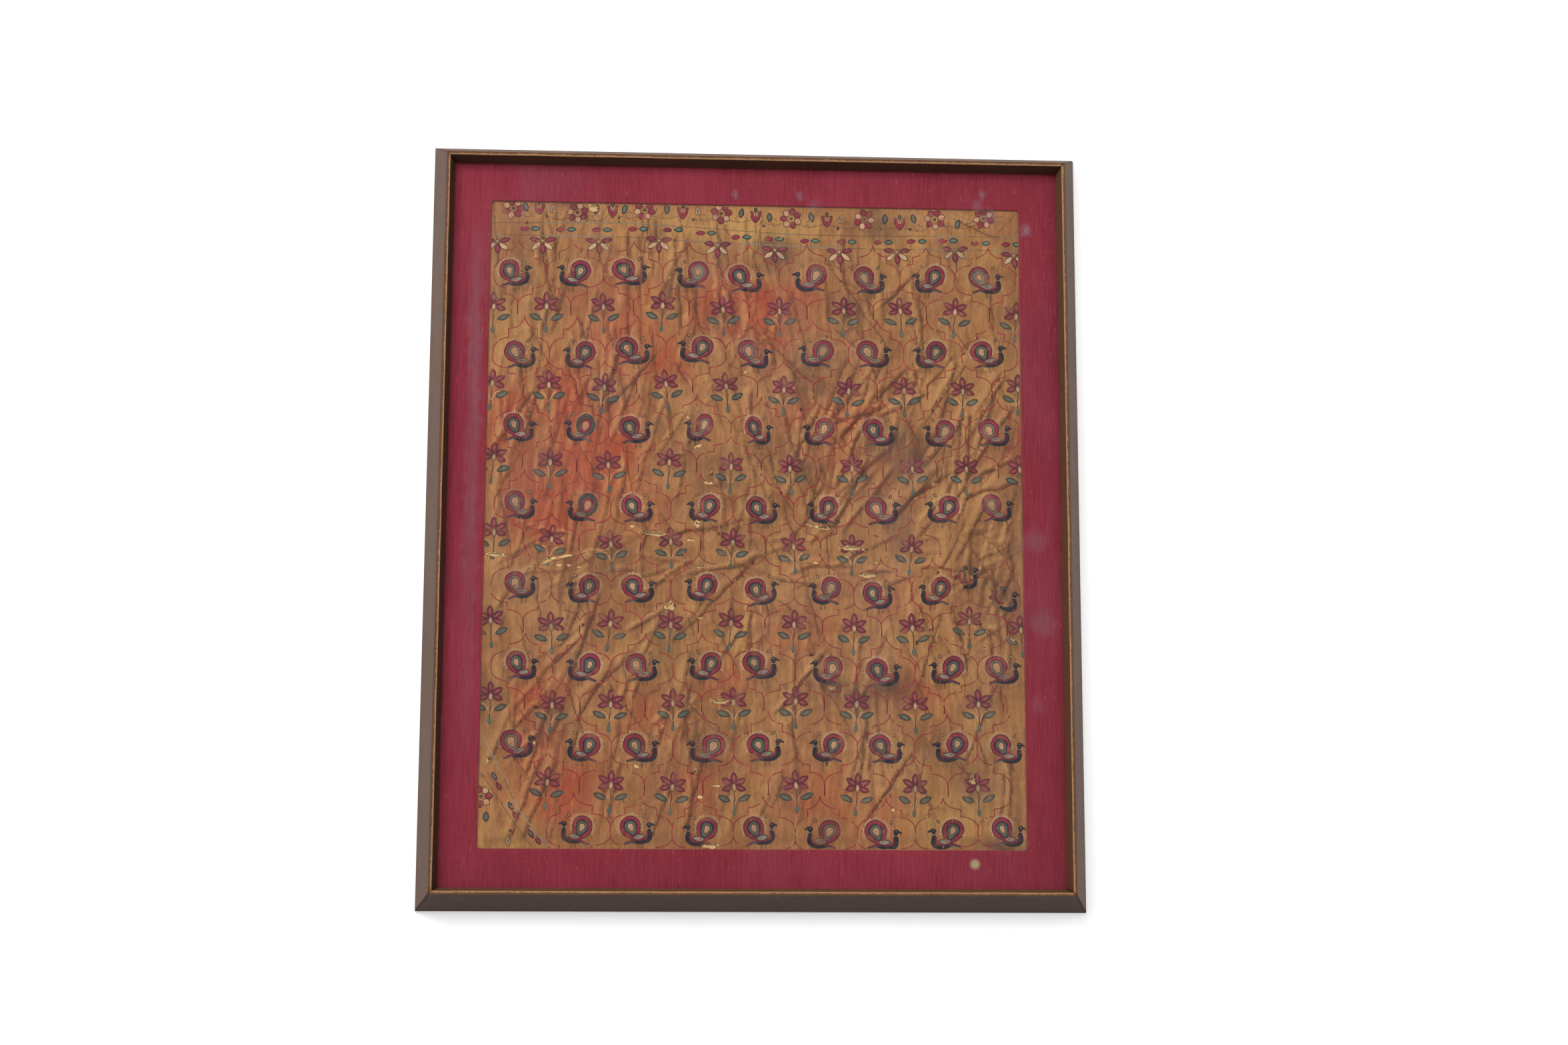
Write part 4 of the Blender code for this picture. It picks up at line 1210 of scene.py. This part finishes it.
def leaf(start, end, width, colours, blunt=1.0):
    """A pointed oval from start to end, worked in closed rows from its edge inwards."""
    start, end = np.array(start, dtype=float), np.array(end, dtype=float)
    way = end - start
    length = np.linalg.norm(way)
    way /= length
    side = np.array([-way[1], way[0]])
    rows = []
    for index, colour in enumerate(colours):
        inset = 0.45 + 0.92 * index
        half = width / 2 - inset
        if half < 0.12:
            break
        share = np.linspace(0, 1, 16)
        swell = np.sin(np.pi * share**blunt) ** 0.8
        travel = inset * 1.2 + (length - 2.4 * inset) * share
        upper = start + way * travel[:, None] + side * (half * swell)[:, None]
        lower = start + way * travel[:, None] - side * (half * swell)[:, None]
        rows.append((colour, np.vstack([upper, lower[::-1]])))
    return rows


def fan(look):
    """The bird's round tail: closed rows that narrow to a point towards its back."""
    rows = []
    angles = np.radians(np.linspace(-66, 294, 53))
    away = (angles - math.radians(-66)) % (2 * math.pi)
    away = np.minimum(away, 2 * math.pi - away)
    for index, colour in enumerate(FANS[look].split()):
        radius = 10.7 - 0.95 * index
        point = 1 + (0.22 + 0.085 * index) * np.exp(-((away / 0.50) ** 2))
        ring = np.column_stack([radius * point * np.cos(angles), radius * point * np.sin(angles)])
        rows.append((colour, ring))
    return rows


def bird_rows(look):
    """Stitch rows of a bird that faces +X, from the middle of its fan."""
    rows = []
    neck = [
        (19.3, -1.0), (19.5, -4.5), (20.3, -8.0), (19.5, -11.6), (17.0, -14.0), (13.3, -15.3),
        (8.8, -15.8), (4.6, -15.5), (1.4, -14.9),
    ]
    beak = [(21.2, 2.0), (23.2, 1.4), (25.4, 0.4)]
    rows += [("navy", row) for row in band(neck, [1.5, 1.9, 2.2, 2.5, 2.6, 2.5, 2.1, 1.6, 0.9], 5)]
    rows += leaf((16.8, 0.4), (22.8, 2.6), 5.4, ["navy", "navy", "navy"])
    rows += [("navy", row) for row in band(beak, [1.2, 0.8, 0.2], 3)]
    rows.append(("pale", arc(20.0, 2.2, 0.35, 0.35, 0, 330, 7)))
    rows.append(("collar", np.array([(17.2, -2.4), (19.4, -2.8), (21.6, -2.4)])))
    if look == "lost":
        rows.append(("crimson", arc(4.0, -4.0, 7.0, 6.4, 150, 290, 12)))
        rows.append(("wine", arc(3.4, -4.0, 8.4, 7.8, 130, 260, 12)))
        rows += leaf((-12.0, -6.0), (-4.0, -4.0), 4.6, PETAL)
        rows += leaf((2.0, 6.0), (9.0, 3.0), 4.0, ["navy", "teal"])
        return rows
    rows += fan(look)
    ray = "ray" if look == "teal" else "faint ray"
    for angle in np.arange(-16, 214, 8.8):
        way = np.array([math.cos(math.radians(angle)), math.sin(math.radians(angle))])
        rows.append((ray, np.array([way * 11.0, way * rng.uniform(13.0, 14.8)])))
    breast = [
        (17.0, -5.0), (17.5, -8.6), (16.4, -11.4), (13.4, -13.1), (9.0, -13.6), (4.0, -13.3), (0.0, -13.9),
    ]
    rows += [("crimson", row) for row in band(breast, [0.7, 0.9, 0.9, 0.8], 2)]
    tail = band([(4.5, -14.0), (0.0, -15.0), (-7.5, -17.6)], [1.3, 1.5, 1.0], 3)
    rows += list(zip(("crimson", "wine", "teal"), tail))
    wing = ["wine", "pearl", "pearl"] if look == "teal" else ["olive", "pearl", "grey"]
    rows += leaf((15.6, -9.7), (1.4, -11.4), 6.0, wing)
    for foot in (6.6, 10.8):
        rows.append(("foot", np.array([(foot, -17.4), (foot + 0.5, -22.6), (foot + 2.2, -23.2)])))
        rows.append(("foot", np.array([(foot + 1.4, -17.4), (foot + 1.8, -22.0)])))
    rows += leaf((13.4, 8.4), (16.2, 12.4), 3.2, ["olive", "cream"])
    rows.append(("foot", smooth_line([(18.6, 4.8), (17.8, 7.2), (18.4, 9.4)])))
    return rows


def flower_rows(pale_stem):
    """Stitch rows of an upright flower sprig, from where its petals meet."""
    rows = []
    petals = [
        ((0, 0.2), (-0.3, 13.0), 7.0), ((-1.0, -0.4), (-13.0, 6.2), 6.6), ((1.0, -0.4), (12.8, 5.6), 6.6),
        ((-1.2, -2.0), (-12.8, -5.8), 6.4), ((1.4, -2.0), (12.8, -6.0), 6.4),
    ]
    for start, end, width in petals:
        rows += leaf(start, end, width, PETAL)
    rows += leaf((0, 1.6), (0.2, -8.0), 5.2, PALE_PETAL)
    stem = "pale stem" if pale_stem else "stem"
    rows.append(("olive", smooth_line([(0.1, -8.2), (0.3, -14.0), (-0.2, -19.0), (0.0, -24.0)])))
    for side in (-1, 1):
        branch = [(side * 0.7, -20.6), (side * 2.6, -15.4), (side * 5.0, -11.6), (side * 8.6, -10.2)]
        rows.append((stem, smooth_line(branch)))
        rows += leaf((side * 4.4, -17.0), (side * 17.2, -11.2), 6.2, ["moss", "teal", "sage"])
    rows += leaf((0.0, -23.6), (-0.2, -31.6), 3.8, ["teal", "sage"])
    return rows


def hanging_rows():
    """Stitch rows of a flower that hangs from the border, from its pale middle."""
    rows = leaf((0, 2.6), (0, -2.8), 4.4, ["olive", "cream"])
    for side in (-1, 1):
        rows += leaf((side * 2.4, 0.2), (side * 14.8, 2.2), 5.8, PETAL)
        rows += leaf((side * 1.5, -1.8), (side * 12.0, -10.2), 5.8, ["olive", "pale", "cream"])
    rows += leaf((0.2, -2.8), (1.0, -15.2), 6.4, PETAL)
    rows.append(("olive", smooth_line([(1.0, -15.0), (1.4, -19.0), (1.2, -24.0)])))
    return rows


def blossom_rows(turn):
    """A cluster of round petals round a small eye, from its middle."""
    rows = []
    for index in range(7):
        angle = math.radians(360 / 7 * index + turn)
        way = np.array([math.cos(angle), math.sin(angle)])
        pale = index in (1, 3, 5)
        shades = ["olive", "peach", "cream", "peach"] if pale else ["wine", "red", "crimson", "rose"]
        rows += leaf(way * 3.2, way * 12.0, 7.4, shades)
    rows += leaf((-2.2, 0.0), (2.2, 0.4), 3.6, ["olive", "moss"])
    return rows


def vine_rows(x0, y0, x1, y1, dip):
    """A vine that sags between two flowers, with a curl that turns back from its lowest point."""
    low = ((x0 + x1) / 2, min(y0, y1) - dip)
    curl = [low, (low[0] - 3.6, low[1] + 4.4), (low[0] + 0.6, low[1] + 7.4), (low[0] + 3.4, low[1] + 4.8)]
    down = ((x0 + low[0]) / 2, low[1] + 1.6)
    up = ((x1 + low[0]) / 2, low[1] + 1.4)
    return [("vine", smooth_line([(x0, y0), down, low, up, (x1, y1)])), ("vine", smooth_line(curl))]


def heart_rows():
    """An open heart of two crimson petals round two pale ones, with a bud at the top."""
    rows = []
    for x0, x1, low, high, width, colours, blunt in (
        (0.6, 5.4, -8.4, 5.6, 5.2, RED_PETAL, 0.8), (0.2, 2.6, -2.6, 5.4, 3.4, ["olive", "cream"], 1.0),
    ):
        rows += leaf((x0, low), (-x1, high), width, colours, blunt)
        rows += leaf((-x0, low), (x1, high), width, colours, blunt)
    return rows + leaf((0.0, 4.0), (0.0, 9.0), 3.4, ["navy", "sage"])


def ogee_line(start, end):
    """One side of a lattice cell: two hollow curves with a small step between them."""
    turn = np.radians(np.linspace(0, 90, 9))
    inner = np.column_stack([0.5 * (1 - np.cos(turn)), 0.38 * np.sin(turn)])
    outer = np.column_stack([0.48 + 0.52 * np.sin(turn), 0.62 + 0.38 * (1 - np.cos(turn))])
    shape = np.vstack([inner, outer])
    run = np.array(end, dtype=float) - np.array(start, dtype=float)
    return np.array(start) + shape * run


class Stitches:
    """Rows of chain stitch gathered into one mesh that follows the cloth."""

    def __init__(self):
        self.rows = []

    def row(self, colour, points, width=1.0, over=0.0):
        """One row of links. over lifts it above the rows that were worked before it."""
        points = np.asarray(points, dtype=float)
        if colour in FINE_THREADS:
            colour, width = FINE_THREADS[colour], FINE_WIDTH
        step = np.linalg.norm(np.diff(points, axis=0), axis=1)
        total = step.sum()
        if total < 0.5:
            return
        links = max(1, round(total / STITCH))
        places = np.linspace(0, total, 2 * links + 1)
        travelled = np.concatenate([[0], np.cumsum(step)])
        line = np.column_stack([np.interp(places, travelled, points[:, axis]) for axis in (0, 1)])
        self.rows.append((line, colour, width, over))

    def motif(self, rows, x, y, flip=1, stretch=1.0, lean=0.0, turn=0.0, size=1.0):
        """Places a motif. lean lifts its far side, as on cloth that was worked by eye."""
        cosine, sine = math.cos(math.radians(turn)), math.sin(math.radians(turn))
        for number, (colour, points) in enumerate(rows):
            u = points[:, 0] * stretch
            v = points[:, 1] + lean * np.clip(points[:, 0] / 20, 0, 1)
            placed_x = x + size * flip * (u * cosine - v * sine)
            placed_y = y + size * (u * sine + v * cosine)
            placed_x = placed_x + WANDER * noise(placed_x, placed_y, 5, 21)
            placed_y = placed_y + WANDER * noise(placed_x, placed_y, 5, 22)
            self.row(colour, np.column_stack([placed_x, placed_y]), over=0.2 * number / len(rows))

    def build(self, name, material, worn):
        """One mesh of all rows, without the links that are worn through or lie on a loss."""
        points, faces, shades = [], [], []
        start = 0
        for line, colour, width, over in self.rows:
            step = np.gradient(line, axis=0)
            step /= np.maximum(np.linalg.norm(step, axis=1), 1e-6)[:, None]
            side = np.column_stack([-step[:, 1], step[:, 0]])
            wide = np.arange(len(line)) % 2 == 1
            waist = WAIST_HALF if width > NARROW else THIN_WAIST_HALF
            half = np.where(wide, LINK_HALF, waist)[:, None] * width
            lift = np.where(wide, LINK_LIFT, WAIST_LIFT) + over
            low = np.full(len(line), -EDGE_SINK)
            for offset, height in ((-half, low), (0 * half, lift), (half, low)):
                points.append(np.column_stack([line + side * offset, height]))
            count = len(line)
            index = np.arange(count - 1)
            broken = noise(line[:-1, 0], line[:-1, 1], 3.2, 23) > 1.0 - 2 * worn
            index = index[~broken]
            for shift in (0, count):
                first = start + shift + index
                faces.append(np.stack([first + count, first + count + 1, first + 1, first], axis=1))
            shades.append(np.tile(np.array(linear(THREADS[colour])), (3 * count, 1)))
            start += 3 * count
        points, faces, shades = np.concatenate(points), np.concatenate(faces), np.concatenate(shades)
        x, y = points[:, 0], points[:, 1]
        faded = 0.42 * smooth_step(noise(x, y, 6, 26) + 0.35 * noise(x, y, 1.8, 27))
        faded[shades[:, 2] > shades[:, 0]] *= 0.25
        shades += (np.array(linear(FADED)) - shades) * faded[:, None]
        shades[:, :3] *= (1 + 0.22 * noise(x, y, 14, 24))[:, None]
        kept = (np.abs(x) < WINDOW_WIDTH / 2 - 0.5) & (np.abs(y) < WINDOW_HEIGHT / 2 - 0.5)
        for number, loss in enumerate(LOSSES):
            kept &= loss_edge(loss, x, y, number) > 1.05
        faces = faces[kept[faces].all(axis=1)]
        points[:, 2] += CLOTH_TOP + cloth_height(x, y)
        points[:, :2] += WINDOW_CENTRE
        obj = add_mesh(name, points, faces, material, thread=shades)
        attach(obj, "root")
        return obj


def stitch_birds(material):
    """The birds of the upper and the lower rows. One that faces left is worked in mirror image."""
    upper, lower = Stitches(), Stitches()
    for bird in BIRDS:
        target = upper if bird.y > -30 else lower
        flip = 1 if bird.head_x > 0 else -1
        target.motif(
            bird_rows(bird.look), bird.x, bird.y, flip,
            stretch=abs(bird.head_x) / 20, lean=bird.head_y - 3, turn=rng.normal() * 1.5,
        )
    return [upper.build("upper_birds", material, 0.04), lower.build("lower_birds", material, 0.04)]


def stitch_flowers(material):
    """Upright sprigs between the birds, and flowers that hang from the border."""
    stitches = Stitches()
    for number, row in enumerate(FLOWER_ROWS):
        for x, y in row:
            stretch = rng.uniform(0.94, 1.04)
            stitches.motif(flower_rows(number % 2 == 1), x, y, stretch=stretch, turn=rng.normal() * 3)
    for x, y in HANGING_FLOWERS:
        stitches.motif(hanging_rows(), x, y, turn=rng.normal() * 2, size=0.95)
    return [stitches.build("flower_sprigs", material, 0.06)]


def stitch_lattice(material):
    """Ogee cells round the birds, pinched beside each bird and above each flower."""
    stitches = Stitches()
    for number, height in enumerate(BIRD_ROWS):
        birds = sorted((b.x + 0.5 * b.head_x, b.y) for b in BIRDS if abs(b.y - height) < ROW_REACH)
        flowers = FLOWER_ROWS[min(number, len(FLOWER_ROWS) - 1)]
        for x, _ in flowers:
            y = min(birds, key=lambda bird: abs(bird[0] - x))[1]
            stitches.row("brick", [(x, y - 0.4), (x - 0.5, y - 5), (x, y - PINCH)])
            for side in [bird[0] for bird in birds if abs(bird[0] - x) < SIDE_REACH]:
                if number < len(FLOWER_ROWS):
                    low = np.interp(side, *zip(*flowers))
                    stitches.row("brick", ogee_line((x, y - PINCH), (side, low)))
                    stitches.row("brick", [(side, low), (side + 0.4, low - 6), (side, low - FLOWER_GAP)])
                else:
                    stitches.row("brick", ogee_line((x, y - PINCH), (side, y - LAST_FALL)))
                top = BORDER_FOOT
                if number > 0:
                    top = np.interp(side, *zip(*FLOWER_ROWS[number - 1])) - FLOWER_GAP
                stitches.row("brick", ogee_line((x, y - 0.4), (side, top)))
    return [stitches.build("ogee_lattice", material, 0.20)]


def border_line(stitches, points, seed, bare_share):
    """A thin dark line, with pale stitches laid along parts of it."""
    line = smooth_line(points)
    stitches.row("moss", line, 0.6)
    step = np.linalg.norm(np.diff(line, axis=0), axis=1)
    travelled = np.concatenate([[0], np.cumsum(step)])
    for start in np.arange(1.0, travelled[-1] - 3, 2.7):
        ends = np.array([start, start + 2.2])
        x, y = (np.interp(ends, travelled, line[:, axis]) for axis in (0, 1))
        if noise(x[:1], y[:1], 34, seed)[0] > bare_share:
            stitches.row("pearl", np.column_stack([x, y + (0.5, -0.5)]), 0.9, over=0.1)


def stitch_borders(material):
    """Lines, leaves, hearts, clusters and vines along the top, and what goes on at the lower left."""
    stitches = Stitches()
    for number, (bare_share, line) in enumerate(zip(BORDER_BARE, BORDER_LINES)):
        border_line(stitches, line, 90 + number, bare_share)
    for x, y in LEAF_PAIRS:
        stitches.motif(leaf((-10.6, -0.2), (-0.6, 0.3), 5.2, RED_PETAL), x, y)
        stitches.motif(leaf((0.8, 0.2), (11.0, 0.3), 5.4, ["navy", "green", "light green"]), x, y)
    for x, y, colour in CORNER_LEAVES:
        edge = "wine" if colour == "crimson" else "navy"
        stitches.motif(leaf((-5.0, 0), (5.0, 0), 4.6, [edge, colour, colour]), x, y, turn=-58)
    for x, y in HEARTS:
        stitches.motif(heart_rows(), x, y)
    for number, (x, y) in enumerate(BLOSSOMS):
        stitches.motif(blossom_rows(20 * number), x, y)
    for number, (x, y) in enumerate(SPRAY_LEAVES):
        shades = ["olive", "cream", "sage"] if number % 4 == 2 else ["navy", "teal", "sage"]
        stitches.motif(leaf((0, -5.6), (0, 5.6), 6.0, shades), x, y, turn=14 * (number % 3 - 1))
    for x, y in BUDS:
        stitches.motif(leaf((-1.7, 0), (1.7, 0.2), 3.2, ["navy", "sage"]), x, y)
    stops = sorted((x, y) for x, y in BLOSSOMS + HEARTS if y > 0)
    for (x0, y0), (x1, y1) in zip(stops, stops[1:]):
        stitches.motif(vine_rows(x0 + 5, y0 - 6, x1 - 4, y1 - 5, 3.0), 0, 0)
    for x0, y0, x1, y1 in LOOSE_VINES:
        stitches.row("vine", smooth_line([(x0, y0), ((x0 + x1) / 2 + 3, (y0 + y1) / 2 + 3), (x1, y1)]))
    return [stitches.build("border_sprays", material, 0.08)]


def area_light(name, place, size, watts):
    """A square light that faces the middle of the frame."""
    data = bpy.data.lights.new(name, "AREA")
    data.shape = "SQUARE"
    data.size = size
    data.energy = watts
    lamp = bpy.data.objects.new(name, data)
    bpy.context.scene.collection.objects.link(lamp)
    lamp.location = place
    back = np.array(place, dtype=float) / np.linalg.norm(place)
    right = np.cross((0.0, 1.0, 0.0), back)
    right /= np.linalg.norm(right)
    up = np.cross(back, right)
    turn = Matrix((right, up, back)).transposed()
    lamp.rotation_euler = turn.to_euler()


def make_stage():
    """A pale floor, two soft lights and an even sky."""
    signs = ((-1, -1), (1, -1), (1, 1), (-1, 1))
    corners = np.array([(x * FLOOR_REACH, y * FLOOR_REACH, FLOOR_TOP) for x, y in signs])
    floor = add_mesh("floor", corners, np.array([[0, 1, 2, 3]]), floor_material())
    for name, place, size, watts in LIGHTS:
        area_light(name, place, size, watts)
    world = bpy.data.worlds.new("studio")
    world.use_nodes = True
    sky = world.node_tree.nodes["Background"].inputs
    sky["Color"].default_value = (1, 1, 1, 1)
    sky["Strength"].default_value = SKY_STRENGTH
    bpy.context.scene.world = world
    bpy.context.scene.view_settings.view_transform = "Standard"


def make_camera():
    data = bpy.data.cameras.new("view")
    data.sensor_width = SENSOR_WIDTH
    data.sensor_fit = "HORIZONTAL"
    data.lens = FOCAL_PIXELS / PHOTO_WIDTH * SENSOR_WIDTH
    data.clip_start, data.clip_end = CLIP
    camera = bpy.data.objects.new("view", data)
    bpy.context.scene.collection.objects.link(camera)
    camera.location = CAMERA_PLACE
    camera.rotation_euler = [math.radians(turn) for turn in CAMERA_TURNS]
    bpy.context.scene.camera = camera


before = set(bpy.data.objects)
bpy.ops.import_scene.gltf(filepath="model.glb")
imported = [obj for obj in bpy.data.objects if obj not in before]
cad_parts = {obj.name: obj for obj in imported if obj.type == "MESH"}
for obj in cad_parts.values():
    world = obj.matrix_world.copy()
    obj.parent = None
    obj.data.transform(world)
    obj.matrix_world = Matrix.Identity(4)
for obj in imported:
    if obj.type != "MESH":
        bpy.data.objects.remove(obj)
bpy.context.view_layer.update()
silk = silk_material()
thread = thread_material()
make_rails(wood_material())
make_mat(linen_material())
cloth = make_cloth(silk)
trims = stitch_lattice(thread) + stitch_flowers(thread) + stitch_borders(thread) + stitch_birds(thread)
for node, material in (("glazing", glass_material()), ("mount_board", board_material())):
    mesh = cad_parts[node].data
    mesh.materials.clear()
    mesh.materials.append(material)
make_stage()
make_camera()
